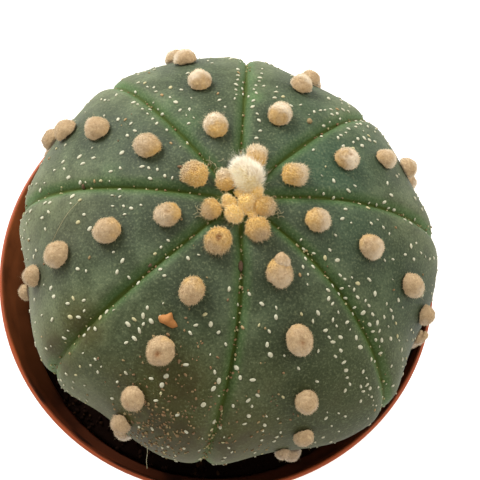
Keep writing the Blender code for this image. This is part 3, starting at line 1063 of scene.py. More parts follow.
def makeCrown(skinMap, tree, material):
    rows = []
    for rib, across, degrees, length, width, height, wisp in crown["balls"]:
        seat = skinMap.seat(rib, across, math.radians(degrees), width * 0.12)
        size = Vector((length / 2, width / 2, width * height))
        comb = seat.col[0].xyz * 0.5
        rows.append({**crown["look"], "seat": seat, "size": size, "wisp": wisp, "comb": comb})
    inputs = {**padSizes, **crown["fuzz"], "Felt": material}
    growPiece("crownWool", padSeeds("crownSeeds", rows), tree, inputs, ["crown_wool"])


# The tuft: long white wool that a flower bud pushes up beside the growing point
tuft = {
    # rib, across, polar degrees, half sizes in metres, lift
    "lobes": (
        (1, 0.54, 5.2, (0.00135, 0.00145, 0.0025), 0.0004),
        (1, 0.34, 6.2, (0.00110, 0.00115, 0.0020), 0.0006),
    ),
    "lean": Vector((-0.75, 0.55, 0.55)),  # the wool is brushed this way
    "fuzz": {
        "Fuzz Density": 1.3e8,
        "Fuzz Length": 0.0011,
        "Fuzz Slimness": 0.022,
        "Fuzz Spread": 0.45,
        "Wisp Density": 2.4e7,
        "Wisp Length": 0.0017,
        "Wisp Slimness": 0.010,
        "Wisp Spread": 0.5,
        "Lump Depth": 0.0004,
    },
    "look": {"age": 1.0, "wisp": 1.0, "dimple": 0.0, "lump": 1.0, "fuzz": 1.0, "pale": 1.0},
    "wool": ("#e2cf9a", "#e9dfc8", "#e9dfc8", "#f6eedb"),
}


def makeTuft(skinMap, tree, material):
    rows = []
    for rib, across, degrees, size, lift in tuft["lobes"]:
        seat = skinMap.seat(rib, across, math.radians(degrees), lift)
        rows.append({**tuft["look"], "seat": seat, "size": size, "comb": tuft["lean"]})
    inputs = {**padSizes, **tuft["fuzz"], "Felt": material}
    growPiece("budTuft", padSeeds("tuftSeeds", rows), tree, inputs, ["bud_tuft"])


# Scatter: one tree strews small irregular beads over seeds that carry their own turn, size and tint
beadSizes = {
    "Around": 8,
    "Rings": 4,
    "Underside": 0.3,
    "Lump Size": 0.00028,
    "Lump Depth": 0.00022,
}


def beadTree(material):
    tree, source = newTree("strewnBeads", {**beadSizes, "Finish": material})
    size = source.outputs
    ball = addNode(tree, "GeometryNodeMeshUVSphere", {"Segments": size["Around"], "Rings": size["Rings"]})
    place = addNode(tree, "ShaderNodeSeparateXYZ", {0: addNode(tree, "GeometryNodeInputPosition")})
    known = {"z": place.outputs["Z"], "Underside": size["Underside"], "Lump Size": size["Lump Size"]}
    runSums(
        tree,
        known,
        (
            ("pressed", "MULTIPLY", "z", "Underside"),
            ("higher", "MAXIMUM", "z", "pressed"),
            ("scale", "DIVIDE", 1.0, "Lump Size"),
        ),
    )
    pressed = addNode(
        tree,
        "ShaderNodeCombineXYZ",
        {"X": place.outputs["X"], "Y": place.outputs["Y"], "Z": known["higher"]},
    )
    bead = addNode(tree, "GeometryNodeSetPosition", {"Geometry": ball.outputs["Mesh"], "Position": pressed})
    turn = addNode(tree, "GeometryNodeInputNamedAttribute", {"Name": "beadTurn"}, data_type="QUATERNION")
    scale = addNode(tree, "GeometryNodeInputNamedAttribute", {"Name": "beadSize"}, data_type="FLOAT_VECTOR")
    beads = addNode(
        tree,
        "GeometryNodeInstanceOnPoints",
        {"Points": source.outputs["Geometry"], "Instance": bead, "Rotation": turn, "Scale": scale},
    )
    solid = addNode(tree, "GeometryNodeRealizeInstances", {"Geometry": beads})
    where = addNode(tree, "GeometryNodeInputPosition")
    lumps = addNode(tree, "ShaderNodeTexNoise", {"Vector": where, "Scale": known["scale"], "Detail": 0.0})
    centred = addNode(
        tree, "ShaderNodeVectorMath", {0: lumps.outputs["Color"], 1: (0.5, 0.5, 0.5)}, operation="SUBTRACT"
    )
    push = addNode(
        tree, "ShaderNodeVectorMath", {0: centred, "Scale": size["Lump Depth"]}, operation="SCALE"
    )
    rough = addNode(tree, "GeometryNodeSetPosition", {"Geometry": solid, "Offset": push})
    closeTree(tree, rough, source.outputs["Finish"])
    return tree


def beadSeeds(name, rows):
    # rows hold a seat, the half sizes and a tint
    return seedMesh(
        name,
        [row[0].translation for row in rows],
        beadTurn=[row[0].to_quaternion() for row in rows],
        beadSize=[row[1] for row in rows],
        tint=[row[2] for row in rows],
    )


def makeTinted(name, tints, grain, roughness, gloss=0.5):
    # a dry matt finish that runs through the tints from 0 to 1, mottled at the size of its grain
    material, tree, shader = newMaterial(name)
    where = addNode(tree, "ShaderNodeTexCoord").outputs["Object"]
    tint = addNode(tree, "ShaderNodeAttribute", attribute_name="tint").outputs["Fac"]
    mottle = addNode(tree, "ShaderNodeTexNoise", {"Vector": where, "Scale": 1 / grain, "Detail": 3.0})
    colour = tints[0]
    for number, later in enumerate(tints[1:-1]):
        low = number / (len(tints) - 2)
        colour = coverWith(tree, colour, later, tint, low, low + 1 / (len(tints) - 2))
    colour = coverWith(tree, colour, tints[-1], mottle, 0.50, 0.75, 0.5)
    finishMaterial(tree, shader, colour, roughness, mottle, grain / 8, Specular_IOR_Level=gloss)
    return material


# Flecks: tiny flat tufts of white wool that the species wears all over, in broken rows down each rib
flecks = {
    "rows": (0.06, 0.16, 0.27, 0.38),  # share of the rib's width between a groove and each row
    "start": math.radians(16.0),
    "end": math.radians(116.0),
    "step": 0.0011,
    "stepShare": (0.8, 1.4),
    "zigzag": 0.00054,
    "rowJitter": 0.012,  # share of the rib's width, as is the swing of a row
    "rowSwing": 0.05,
    "plenty": (0.95, 1.05, 1.2, 1.35, 1.6, 1.3, 1.4, 1.1),  # by rib
    "runChance": 0.56,  # that the next fleck of a run follows at once
    "gap": (0.0024, 0.0078),
    "gapShare": ((0.28, 0.63, 0.98), (0.75, 1.40, 0.75)),  # polar radians, and the share of a gap there
    "length": (0.00055, 0.00088),
    "crownLength": ((0.0, 0.5), (0.70, 1.0)),  # radians past the start, and the share of the length there
    "lowLength": ((0.8, 1.3), (1.0, 0.70)),  # the same by polar radians
    "smallChance": 0.22,
    "smallShare": 0.6,
    "slimness": (0.50, 0.76),
    "height": 0.00012,
    "strays": 8,  # on the middle of each rib
    "strayAcross": (0.42, 0.58),
    "clear": 0.0025,  # kept free round a pad
    "apart": 0.00085,
    # close runs: rib, from across and polar degrees, to across and polar degrees, how many
    "runs": (
        (3, 0.89, 30.0, 0.89, 40.0, 9),
        (3, 0.87, 40.0, 0.92, 52.0, 10),
        (3, 0.94, 42.0, 0.95, 53.0, 5),
        (3, 0.73, 48.0, 0.79, 60.0, 8),
        (3, 0.97, 33.0, 0.97, 41.0, 4),
        (4, 0.14, 32.0, 0.09, 46.0, 11),
        (4, 0.02, 30.0, 0.01, 40.0, 4),
        (2, 0.27, 39.0, 0.24, 49.0, 6),
        (2, 0.16, 34.0, 0.08, 52.0, 11),
        (0, 0.88, 30.0, 0.93, 46.0, 9),
        (1, 0.12, 34.0, 0.13, 50.0, 5),
        (1, 0.76, 34.0, 0.94, 52.0, 13),
        (7, 0.05, 33.0, 0.05, 44.0, 6),
        (7, 0.91, 42.0, 0.88, 29.5, 8),
        (0, 0.18, 29.5, 0.34, 27.5, 4),
        (1, 0.80, 44.0, 0.97, 43.0, 9),
        (2, 0.03, 45.0, 0.20, 48.0, 7),
        (0, 0.09, 51.0, 0.15, 40.0, 9),
        (4, 0.29, 38.0, 0.21, 56.0, 11),
        (4, 0.12, 54.0, 0.10, 74.0, 11),
        (5, 0.88, 58.0, 0.84, 80.0, 5),
    ),
    "runShare": 0.88,  # the size of a run's flecks against the rest
    "runJitter": (0.009, 0.35),  # share of the rib's width, and polar degrees
    "tints": ("#cac7ae", "#bfb68a", "#a8875c", "#b0a886"),
    "tintPlaces": (0.0, 0.1, 0.45, 0.95),
    "tintChances": (0.68, 0.22, 0.07, 0.03),
}


def makeFlecks(skinMap, pads, tree, material):
    chance = np.random.default_rng(17)
    padPlaces = np.array([row["seat"].translation for rows in pads for row in rows])
    placed = []
    rows = []

    def addFleck(rib, across, polar, share=1.0):
        place = np.array(skinMap.point(rib, across, polar))
        if np.linalg.norm(padPlaces - place, axis=1).min() < flecks["clear"]:
            return
        if placed and np.linalg.norm(np.array(placed) - place, axis=1).min() < flecks["apart"] * share:
            return
        length = chance.uniform(*flecks["length"]) * share
        length *= flecks["smallShare"] if chance.uniform() < flecks["smallChance"] else 1.0
        length *= np.interp(polar - flecks["start"], *flecks["crownLength"])
        length *= np.interp(polar, *flecks["lowLength"])
        width = length * chance.uniform(*flecks["slimness"])
        size = Vector((length / 2, width / 2, flecks["height"] * share))
        seat = skinMap.seat(rib, across, polar, size.z * 0.2, chance.normal(0, 0.8))
        tint = chance.choice(flecks["tintPlaces"], p=flecks["tintChances"])
        placed.append(place)
        rows.append((seat, size, tint))

    for rib, fromAcross, fromPolar, toAcross, toPolar, count in flecks["runs"]:
        for share in np.linspace(0, 1, count):
            sway, slip = (chance.normal(0, jitter) for jitter in flecks["runJitter"])
            across = fromAcross + (toAcross - fromAcross) * share + sway
            polar = math.radians(fromPolar + (toPolar - fromPolar) * share + slip)
            addFleck(rib, across, polar, flecks["runShare"])
    for rib in range(stem["ribs"]):
        for side in (0, 1):
            for row in flecks["rows"]:
                base = abs(side - row) + chance.normal(0, flecks["rowJitter"])
                swing = chance.uniform(-flecks["rowSwing"], flecks["rowSwing"])
                polar = flecks["start"] + chance.uniform(0, 0.3)
                while polar < flecks["end"]:
                    near = skinMap.point(rib, base, polar)
                    reach = (skinMap.point(rib, base, polar + 0.05) - near).length / 0.05
                    width = (skinMap.point(rib, 0.0, polar) - skinMap.point(rib, 1.0, polar)).length
                    across = base + swing * math.sin(3 * polar)
                    across += chance.normal(0, flecks["zigzag"]) / width
                    addFleck(rib, min(max(across, 0.02), 0.98), polar)
                    stride = flecks["step"] * chance.uniform(*flecks["stepShare"])
                    if chance.uniform() > flecks["runChance"]:
                        gapShare = np.interp(polar, *flecks["gapShare"]) / flecks["plenty"][rib] ** 1.6
                        stride += chance.uniform(*flecks["gap"]) * gapShare
                    polar += stride / reach
        for _ in range(flecks["strays"]):
            across = chance.uniform(*flecks["strayAcross"])
            addFleck(rib, across, chance.uniform(flecks["start"], flecks["end"]))
    inputs = {**beadSizes, "Around": 10, "Lump Depth": 0.00008, "Finish": material}
    growPiece("whiteFlecks", beadSeeds("fleckSeeds", rows), tree, inputs)


# Grit: dried crumbs of mix and old flower that caught in the grooves and on the ribs that face the path
grit = {
    # rib, middle across and polar degrees, spread of both, how many
    "drifts": (
        (5, 0.30, 68.0, 0.13, 10.0, 260),
        (5, 0.38, 46.0, 0.16, 12.0, 60),
        (4, 0.84, 62.0, 0.14, 16.0, 70),
        (3, 0.50, 45.0, 0.25, 20.0, 4),
        (6, 0.50, 45.0, 0.25, 20.0, 6),
        (7, 0.50, 40.0, 0.25, 16.0, 5),
    ),
    "between": (14.0, 105.0),  # polar degrees
    "size": (0.00006, 0.00017),
    "stretch": (0.9, 1.8),
    "flatness": 0.7,
    "tintRange": (0.3, 0.85),
    "grooveBetween": (9.0, 108.0),
    "grooveJitter": 0.016,
    "grooveStretch": 1.4,
    "grooveTints": (0.0, 0.0, 0.1, 0.3, 0.7),
    "grooveStep": (0.0016, 0.0015, 0.0008, 0.0014, 0.0011, 0.00055, 0.00075, 0.0013),  # by groove
    "grooveSize": (0.00005, 0.00017),
    # single pieces: rib, across, polar degrees, half length, half width, half height, spin, tint
    "chips": (
        (5, 0.02, 16.0, 0.00072, 0.00050, 0.00022, 0.0, 1.0),
        (5, 0.00, 55.0, 0.00032, 0.00026, 0.00024, 0.0, 0.75),
        (7, 0.02, 41.0, 0.00042, 0.00022, 0.00022, 1.4, 0.9),
        (7, 0.48, 15.5, 0.00042, 0.00020, 0.00024, 0.3, 0.8),
        (3, 0.52, 20.0, 0.00026, 0.00018, 0.00016, 0.9, 0.75),
        (1, 0.82, 31.0, 0.00048, 0.00040, 0.00026, 0.2, 0.45),
        (6, 0.04, 26.0, 0.00030, 0.00018, 0.00018, 0.2, 0.95),
    ),
    "tints": ("#b3ab7c", "#98855c", "#8b6c4a", "#5e4835", "#776648"),
}


def makeGrit(skinMap, tree, material):
    chance = np.random.default_rng(29)
    rows = []
    for rib, across, degrees, acrossSpread, polarSpread, count in grit["drifts"]:
        for _ in range(count):
            place = min(max(chance.normal(across, acrossSpread), 0.01), 0.99)
            polar = math.radians(np.clip(chance.normal(degrees, polarSpread), *grit["between"]))
            half = chance.uniform(*grit["size"])
            size = Vector((half * chance.uniform(*grit["stretch"]), half, half * grit["flatness"]))
            seat = skinMap.seat(rib, place, polar, half * 0.2, chance.uniform(0, math.pi))
            rows.append((seat, size, chance.uniform(*grit["tintRange"])))
    for rib in range(stem["ribs"]):
        polar, end = (math.radians(angle) for angle in grit["grooveBetween"])
        while polar < end:
            reach = (skinMap.point(rib, 0.0, polar + 0.05) - skinMap.point(rib, 0.0, polar)).length / 0.05
            half = chance.uniform(*grit["grooveSize"])
            aside = chance.normal(0, grit["grooveJitter"])
            seat = skinMap.seat(rib, aside, polar, half * 0.3, chance.uniform(0, math.pi))
            size = Vector((half * grit["grooveStretch"], half, half))
            rows.append((seat, size, chance.choice(grit["grooveTints"])))
            polar += grit["grooveStep"][rib] * chance.exponential() / reach
    for rib, across, degrees, length, width, height, spin, tint in grit["chips"]:
        seat = skinMap.seat(rib, across, math.radians(degrees), height * 0.3, spin)
        rows.append((seat, Vector((length, width, height)), tint))
    inputs = {**beadSizes, "Around": 6, "Underside": 1.0, "Lump Depth": 0.00016, "Finish": material}
    growPiece("driedGrit", beadSeeds("gritSeeds", rows), tree, inputs)


# Flake: a dry scrap of an old flower, folded along its middle
flake = {
    "rib": 5,
    "across": 0.57,
    "polar": math.radians(34.0),
    "spin": 1.75,
    # outline in metres: along, across, and how high it curls off the skin
    "corners": (
        (-0.00120, 0.00010, 0.00020),
        (-0.00050, 0.00052, 0.00036),
        (0.00008, 0.00105, 0.00050),
        (0.00050, 0.00045, 0.00040),
        (0.00125, -0.00020, 0.00018),
        (0.00080, -0.00062, 0.00012),
        (-0.00010, -0.00048, 0.00026),
        (-0.00080, -0.00050, 0.00016),
    ),
    "crest": (0.00008, 0.00004, 0.00078),
    "thickness": 0.00030,
    "crumple": 0.0005,
    "crumpleDepth": 0.00009,
    "seed": 428,
    "tint": 0.7,
    "tints": ("#a0652f", "#b0733a", "#bd8248", "#804e26"),
}


def makeFlake(skinMap, material):
    seat = skinMap.seat(flake["rib"], flake["across"], flake["polar"], 0.0, flake["spin"])
    corners = [Vector(corner) for corner in flake["corners"]]
    count = len(corners)
    down = Vector((0, 0, -flake["thickness"]))
    points = [*corners, *[corner + down for corner in corners]]
    points += [Vector(flake["crest"]), Vector(flake["crest"]) + down]
    faces = []
    for index in range(count):
        beside = (index + 1) % count
        faces.append((index, beside, 2 * count))
        faces.append((count + beside, count + index, 2 * count + 1))
        faces.append((beside, index, count + index, count + beside))

    def crumple(work):
        noise.seed_set(flake["seed"])  # without a seed it would crumple anew at each run
        bmesh.ops.subdivide_edges(work, edges=work.edges, cuts=2, use_grid_fill=True, smooth=0.4)
        for vertex in work.verts:
            vertex.co += noise.noise_vector(vertex.co / flake["crumple"]) * flake["crumpleDepth"]

    piece = closedPiece("driedFlake", [seat @ point for point in points], faces, material, crumple)
    tints = [flake["tint"]] * len(piece.data.vertices)
    piece.data.attributes.new("tint", "FLOAT", "POINT").data.foreach_set("value", tints)
    handIn(piece)


# Fibres: a few stray hairs of wool and root that cling to the plant
fibres = {
    "radius": 0.000032,
    # through places on the skin: rib, across, polar degrees, lift in metres
    "strands": (
        ((6, 0.86, 41.0, 0.0001), (6, 0.76, 45.5, 0.0004), (6, 0.67, 50.0, 0.0004), (6, 0.62, 54.5, 0.0001)),
        ((5, 0.33, 84.0, 0.0), (5, 0.31, 93.0, 0.0006), (5, 0.31, 101.0, 0.0014), (5, 0.29, 107.0, 0.0030)),
    ),
    # a frizz of hairs: rib, across, polar degrees, reach in metres, how many
    "frizz": ((0, 0.04, 10.0, 0.0012, 16), (3, 0.66, 9.0, 0.0011, 8), (6, 0.40, 9.6, 0.0010, 6)),
    "strandPoints": 14,
    "frizzPoints": 6,
    "frizzSpread": 0.45,  # share of the reach
    "frizzBend": 2.5,
    "frizzRise": (0.2, 0.9),
    "tints": ("#b0a782", "#948a66", "#c4bc9c"),
}
fibreSizes = {"Radius": fibres["radius"], "Sides": 5}


def fibreTree(material):
    tree, source = newTree("strayFibres", {**fibreSizes, "Finish": material})
    lines = addNode(tree, "GeometryNodeMeshToCurve", {"Mesh": source.outputs["Geometry"]})
    ring = addNode(
        tree,
        "GeometryNodeCurvePrimitiveCircle",
        {"Resolution": source.outputs["Sides"], "Radius": source.outputs["Radius"]},
    )
    tubes = addNode(
        tree,
        "GeometryNodeCurveToMesh",
        {"Curve": lines, "Profile Curve": ring.outputs["Curve"], "Fill Caps": True},
    )
    closeTree(tree, tubes, source.outputs["Finish"])
    return tree


def makeFibres(skinMap, tree, material):
    chance = np.random.default_rng(53)
    points = []
    edges = []
    for strand in fibres["strands"]:
        knots = [skinMap.seat(rib, a, math.radians(p), lift).translation for rib, a, p, lift in strand]
        knots = np.array([tuple(knot) for knot in knots])
        times = np.linspace(0, len(knots) - 1, fibres["strandPoints"])
        curve = np.polynomial.polynomial.Polynomial
        axes = [curve.fit(range(len(knots)), knots[:, axis], len(knots) - 1) for axis in range(3)]
        edges += [(len(points) + n, len(points) + n + 1) for n in range(len(times) - 1)]
        points += [tuple(axis(time) for axis in axes) for time in times]
    steps = fibres["frizzPoints"]
    for rib, across, degrees, reach, count in fibres["frizz"]:
        for _ in range(count):
            seat = skinMap.seat(rib, across, math.radians(degrees))
            heading = chance.uniform(0, 2 * math.pi)
            bend = chance.uniform(-fibres["frizzBend"], fibres["frizzBend"])
            spot = Vector((*chance.normal(0, reach * fibres["frizzSpread"], 2), 0.0001))
            rise = chance.uniform(*fibres["frizzRise"])
            edges += [(len(points) + n, len(points) + n + 1) for n in range(steps - 1)]
            for step in range(steps):
                points.append(seat @ spot)
                angle = heading + bend * step / (steps - 1)
                climb = rise * (1 - 2 * step / steps)
                spot = spot + Vector((math.cos(angle), math.sin(angle), climb)) * reach / steps
    seeds = seedMesh("fibreLines", points, edges, tint=chance.uniform(0, 1, len(points)))
    growPiece("strayFibres", seeds, tree, {**fibreSizes, "Finish": material})


# Pot: injection-moulded polypropylene in terracotta. Its skin is satin and faintly scuffed outside, and
# splashed and soiled inside; grime with painted shade takes it from orange-brown at the lip to nearly black
# above the mix, and a painted glow lights the inner wall on the window's side.
pot = {
    "rimRadius": 0.0325,
    "wall": 0.0007,
    "collarHeight": 0.0085,
    "collarStep": 0.0009,
    "collarTaper": 0.0005,
    "baseRadius": 0.0235,
    "footWidth": 0.0022,
    "footHeight": 0.0016,
    "floor": 0.0011,
    "drainRadius": 0.0025,
    "drainCircle": 0.0140,
    "drainHoles": 6,
    "drainSides": 24,
    "drillHeights": (-0.001, 0.004),
    "steps": 160,
    "plastic": "#ad5027",
    "coats": (
        ("#c57048", "smear", 0.50, 0.85, 0.22),  # scuffs
        ("#4a2616", "fine", 0.62, 0.80, 0.30),
        ("#4a2616", "soiledAndShaded", 0.0010, 0.0022, 0.72),  # grime with painted shade on the inside, from just under the lip down
        # darker again in streaks further down: grime with painted shade
        ("#4a2616", "streaked", 0.0046, 0.0080, 0.65),
        ("#1a0c07", "blotched", 0.50, 0.66, 0.75),
    ),
    "lit": "#b4693c",
    "paintedWallGlow": 0.27,  # painted glow on the inner wall, in place of light through the wall from the window's side
    "paintedWallGlowTurn": 22.0,  # for each metre towards the window
    "paintedWallGlowFade": 30.0,  # for each metre down the wall
}


def makePlastic():
    material, tree, shader = newMaterial("terracottaPlastic")
    where = addNode(tree, "ShaderNodeTexCoord").outputs["Object"]
    place = addNode(tree, "ShaderNodeSeparateXYZ", {0: where})
    known = {"x": place.outputs["X"], "y": place.outputs["Y"]}
    for label in ("inside", "depth"):
        known[label] = addNode(tree, "ShaderNodeAttribute", attribute_name=label).outputs["Fac"]
    for label, size, detail in (("fine", 0.0005, 2.0), ("smear", 0.006, 5.0)):
        settings = {"Vector": where, "Scale": 1 / size, "Detail": detail}
        known[label] = addNode(tree, "ShaderNodeTexNoise", settings)
    runSums(
        tree,
        known,
        (
            # grime and painted shade on the inside, growing with depth
            ("stainAndShade", "MULTIPLY_ADD", "smear", 0.004, "depth"),
            ("soiledAndShaded", "MULTIPLY", "stainAndShade", "inside"),
            ("streak", "MULTIPLY", "soiledAndShaded", "smear"),
            ("streaked", "MULTIPLY", "streak", 2.0),
            # painted light: a glow on the inner wall towards the window, fading down the wall and where it
            # is smeared
            ("fromLeft", "MULTIPLY", "x", -pot["paintedWallGlowTurn"]),
            ("fromWindow", "MULTIPLY_ADD", "y", pot["paintedWallGlowTurn"], "fromLeft"),
            ("facing", "MAXIMUM", "fromWindow", 0.0),
            ("deeper", "MULTIPLY", "depth", -pot["paintedWallGlowFade"]),
            ("higher", "ADD", "deeper", 1.0),
            ("notDeep", "MAXIMUM", "higher", 0.15),
            ("wallGlowShare", "MULTIPLY", "facing", "notDeep"),
            ("paintedWallGlow", "MULTIPLY", "wallGlowShare", pot["paintedWallGlow"]),
            ("blotched", "MULTIPLY", "smear", "inside"),
            ("clearHalf", "SUBTRACT", 1.0, "smear"),
            ("clear", "MULTIPLY", "clearHalf", 2.0),
            ("clearWallGlow", "MULTIPLY", "paintedWallGlow", "clear"),
            ("shining", "MULTIPLY", "clearWallGlow", "inside"),
        ),
    )
    colour = layCoats(tree, pot["plastic"], known, pot["coats"])
    # painted light: the inner wall glows in the plastic's lit colour
    shader.inputs["Emission Color"].default_value = linearColour(pot["lit"])
    tree.links.new(known["shining"].outputs["Value"], shader.inputs["Emission Strength"])
    finishMaterial(tree, shader, colour, 0.48, known["fine"], 0.00001, Specular_IOR_Level=0.35)
    return material


def innerRadius(height):
    # inside radius of the pot's wall below its collar
    low = potHeight - pot["collarHeight"]
    body = pot["rimRadius"] - pot["collarTaper"] - pot["collarStep"]
    return pot["baseRadius"] + (body - pot["baseRadius"]) * height / low - pot["wall"]


def potProfile():
    # radius and height down the outer side, then up the inner side
    top = potHeight
    wall = pot["wall"]
    low = top - pot["collarHeight"]
    rim = pot["rimRadius"]
    step = rim - pot["collarTaper"]
    body = step - pot["collarStep"]
    base = pot["baseRadius"]
    floorTop = pot["footHeight"] + pot["floor"]
    half = wall / 2
    arc = [n * math.pi / 10 for n in range(6)]
    lip = [(rim - half + half * math.sin(turn), top - half + half * math.cos(turn)) for turn in arc]
    lipInside = [(rim - half - half * math.cos(turn), top - half + half * math.sin(turn)) for turn in arc]
    outer = [
        (step, low + 0.0006),
        (step - 0.0001, low + 0.0002),
        (step - 0.0004, low),
        (body + 0.0001, low - 0.0001),
        (body, low - 0.0005),
        *[
            (body + (base + 0.0003 - body) * t, low - 0.0005 + (0.0013 - low) * t)
            for t in (0.25, 0.5, 0.75, 1.0)
        ],
        (base + 0.0001, 0.0002),
        (base - 0.0003, 0.0),
        (base - pot["footWidth"], 0.0),
        (base - pot["footWidth"] - 0.0003, 0.0004),
        (base - pot["footWidth"] - 0.0006, pot["footHeight"]),
        (base * 0.45, pot["footHeight"]),
        (0.0, pot["footHeight"]),
    ]
    inner = [
        (0.0, floorTop),
        (base * 0.45, floorTop),
        (base - wall - 0.0015, floorTop),
        (innerRadius(floorTop + 0.0014), floorTop + 0.0014),
        *[(innerRadius(h), h) for h in (0.012, 0.022, 0.032, 0.042)],
        (innerRadius(low - wall), low - wall),
        (step - wall, low + 0.0004),
    ]
    return lip + outer, inner + lipInside


def makePot(material):
    outer, inner = potProfile()
    profile = outer + inner
    mesh = bpy.data.meshes.new("potWall")
    points = [(radius, 0.0, height) for radius, height in profile]
    mesh.from_pydata(points, [(n, n + 1) for n in range(len(points) - 1)], [])
    inside = mesh.attributes.new("inside", "FLOAT", "POINT")
    depth = mesh.attributes.new("depth", "FLOAT", "POINT")
    inside.data.foreach_set("value", [0.0] * len(outer) + [1.0] * len(inner))
    depth.data.foreach_set("value", [potHeight - height for _, height in profile])
    wall = linkObject("potShell", mesh)
    turn = wall.modifiers.new("turn", "SCREW")
    turn.steps = turn.render_steps = pot["steps"]
    turn.use_merge_vertices = True
    turn.merge_threshold = 0.00001
    drills = []
    for index in range(pot["drainHoles"]):
        angle = 2 * math.pi * index / pot["drainHoles"]
        drill = bpy.data.meshes.new("drill")
        sides = pot["drainSides"]
        ring = [2 * math.pi * n / sides for n in range(sides)]
        middle = Vector((pot["drainCircle"] * math.cos(angle), pot["drainCircle"] * math.sin(angle), 0.0))
        corners = [
            middle + Vector((pot["drainRadius"] * math.cos(a), pot["drainRadius"] * math.sin(a), height))
            for height in pot["drillHeights"]
            for a in ring
        ]
        walls = [(n, (n + 1) % sides, sides + (n + 1) % sides, sides + n) for n in range(sides)]
        caps = [tuple(reversed(range(sides))), tuple(range(sides, 2 * sides))]
        drill.from_pydata(corners, [], walls + caps)
        cutter = linkObject("drill", drill)
        hole = wall.modifiers.new("hole", "BOOLEAN")
        hole.operation = "DIFFERENCE"
        hole.object = cutter
        drills.append(cutter)
    ready = wall.evaluated_get(bpy.context.evaluated_depsgraph_get())
    plain = bpy.data.meshes.new_from_object(ready)
    wall.modifiers.clear()
    wall.data = plain
    for cutter in drills:
        bpy.data.objects.remove(cutter)
    plain.materials.clear()
    plain.materials.append(material)
    plain.shade_smooth()
    plain.set_sharp_from_angle(angle=math.radians(50))
    handIn(wall, ["pot"])


# Mix: damp peat with bark and grit, near black, rough and matt
mix = {
    "below": 0.0085,  # how far its top lies under the rim
    "edgeDip": 0.0012,
    "gap": 0.0003,
    "wallGap": 0.00045,
    "rootGap": 0.00033,
    "foot": (0.0018, 0.0016),  # bevel at its foot: inwards, and up
    "underShares": (0.35, 0.7, 1.0),  # rings on its underside, by radius
    "wallRings": 6,
    "topRings": 18,
    "rootRings": 12,
    "bumps": ((0.0045, 0.0007), (0.0013, 0.0004)),  # size and height of the mounds
    "grains": 1900,
    "grainHalf": (0.000108, 0.00051),  # half the length of a loose grain
    "tints": ("#160a05", "#20110a", "#2a180c", "#3c2818", "#1c0d06"),
}


def makeMix(skinMap, tree, material):
    chance = np.random.default_rng(7)
    level = potHeight - mix["below"]
    bottom = pot["footHeight"] + pot["floor"] + mix["gap"]
    half = stem["rows"] // 2
    lower = skinMap.grid[half:, ::2]  # every second column of the stem below its widest plane
    count = lower.shape[1]
    order = np.arange(len(lower))
    firstTop = len(mix["underShares"]) + mix["wallRings"]
    rings = [[] for _ in range(firstTop + mix["topRings"] + mix["rootRings"])]
    for column in range(count):
        line = lower[:, column]
        start = np.interp(-level, -line[:, 2], order)
        root = []
        for share in np.linspace(0, 0.97, mix["rootRings"]):
            row = start + (order[-1] - start) * share
            place = Vector([np.interp(row, order, line[:, axis]) for axis in range(3)])
            aside = (place.xy - Vector(line[-1][:2])).normalized()
            root.append(place + Vector((*aside, -0.6)) * mix["rootGap"])
        bearing = math.atan2(root[0].y, root[0].x)
        spoke = Vector((math.cos(bearing), math.sin(bearing), 0.0))
        edge = level - mix["edgeDip"]
        wall = [
            spoke * (innerRadius(height) - mix["wallGap"]) + Vector((0, 0, height))
            for height in np.linspace(bottom + mix["foot"][1], edge, mix["wallRings"])
        ]
        corner = pot["baseRadius"] - pot["wall"] - mix["foot"][0]
        under = [spoke * corner * share + Vector((0, 0, bottom)) for share in mix["underShares"]]
        top = []
        for share in np.linspace(0, 1, mix["topRings"] + 2)[1:-1]:
            place = wall[-1].lerp(root[0], share)
            ease = math.sin(math.pi * share) ** 0.5
            place.z = edge + (root[0].z - edge) * min(1.0, share * 3)
            for size, height in mix["bumps"]:
                place.z += height * ease * noise.noise(place / size)
            top.append(place)
        for ring, place in zip(rings, under + wall + top + root):
            ring.append(place)
    points = [place for ring in rings for place in ring]
    points += [Vector((0, 0, bottom)), Vector(lower[-1][0]) - Vector((0, 0, mix["gap"]))]
    faces = []
    for ring in range(len(rings) - 1):
        for column in range(count):
            beside = (column + 1) % count
            first, second = ring * count, (ring + 1) * count
            faces.append((first + column, first + beside, second + beside, second + column))
    last = (len(rings) - 1) * count
    faces += [((column + 1) % count, column, len(points) - 2) for column in range(count)]
    faces += [(last + column, last + (column + 1) % count, len(points) - 1) for column in range(count)]
    handIn(closedPiece("pottingMix", points, faces, material), ["soil"])
    # loose grains on top
    rows = []
    for _ in range(mix["grains"]):
        ring = firstTop + chance.integers(0, mix["topRings"])
        column = chance.integers(0, count)
        nearby = rings[ring][column].lerp(rings[ring - 1][(column + 1) % count], chance.uniform())
        half = chance.uniform(*mix["grainHalf"])
        size = half * Vector((1.0, chance.uniform(0.5, 1), chance.uniform(0.4, 0.9)))
        turn = Matrix.Rotation(chance.uniform(0, 2 * math.pi), 4, "Z")
        turn = turn @ Matrix.Rotation(chance.uniform(-0.6, 0.6), 4, "X")
        rows.append((Matrix.Translation(nearby) @ turn, size, chance.uniform() ** 2.2))
    inputs = {**beadSizes, "Around": 6, "Rings": 3, "Underside": 1.0, "Finish": material}
    growPiece("mixGrains", beadSeeds("grainSeeds", rows), tree, inputs)


# Stage: a sweep of matt white paper in a pale room, with a window behind on one side and a softer fill
stage = {
    "paper": "#f4f3f0",
    "paperGlow": 0.50,  # light that the paper gathers from all round
    "reach": 3.0,
    "drop": 0.0001,  # how far it lies under the foot of the pot
    "aim": Vector((0.0, 0.0, 0.06)),
    # place, width in metres, watts, colour
    "lamps": {
        "windowLight": (Vector((-0.50, 0.52, 0.50)), 0.42, 8.0, (0.98, 0.99, 1.0)),
        "fillLight": (Vector((0.44, 0.28, 0.62)), 0.60, 2.7, (1.0, 0.98, 0.94)),
    },
    "roomColour": (1.0, 0.96, 0.87, 1.0),
    "roomLight": 0.52,
}


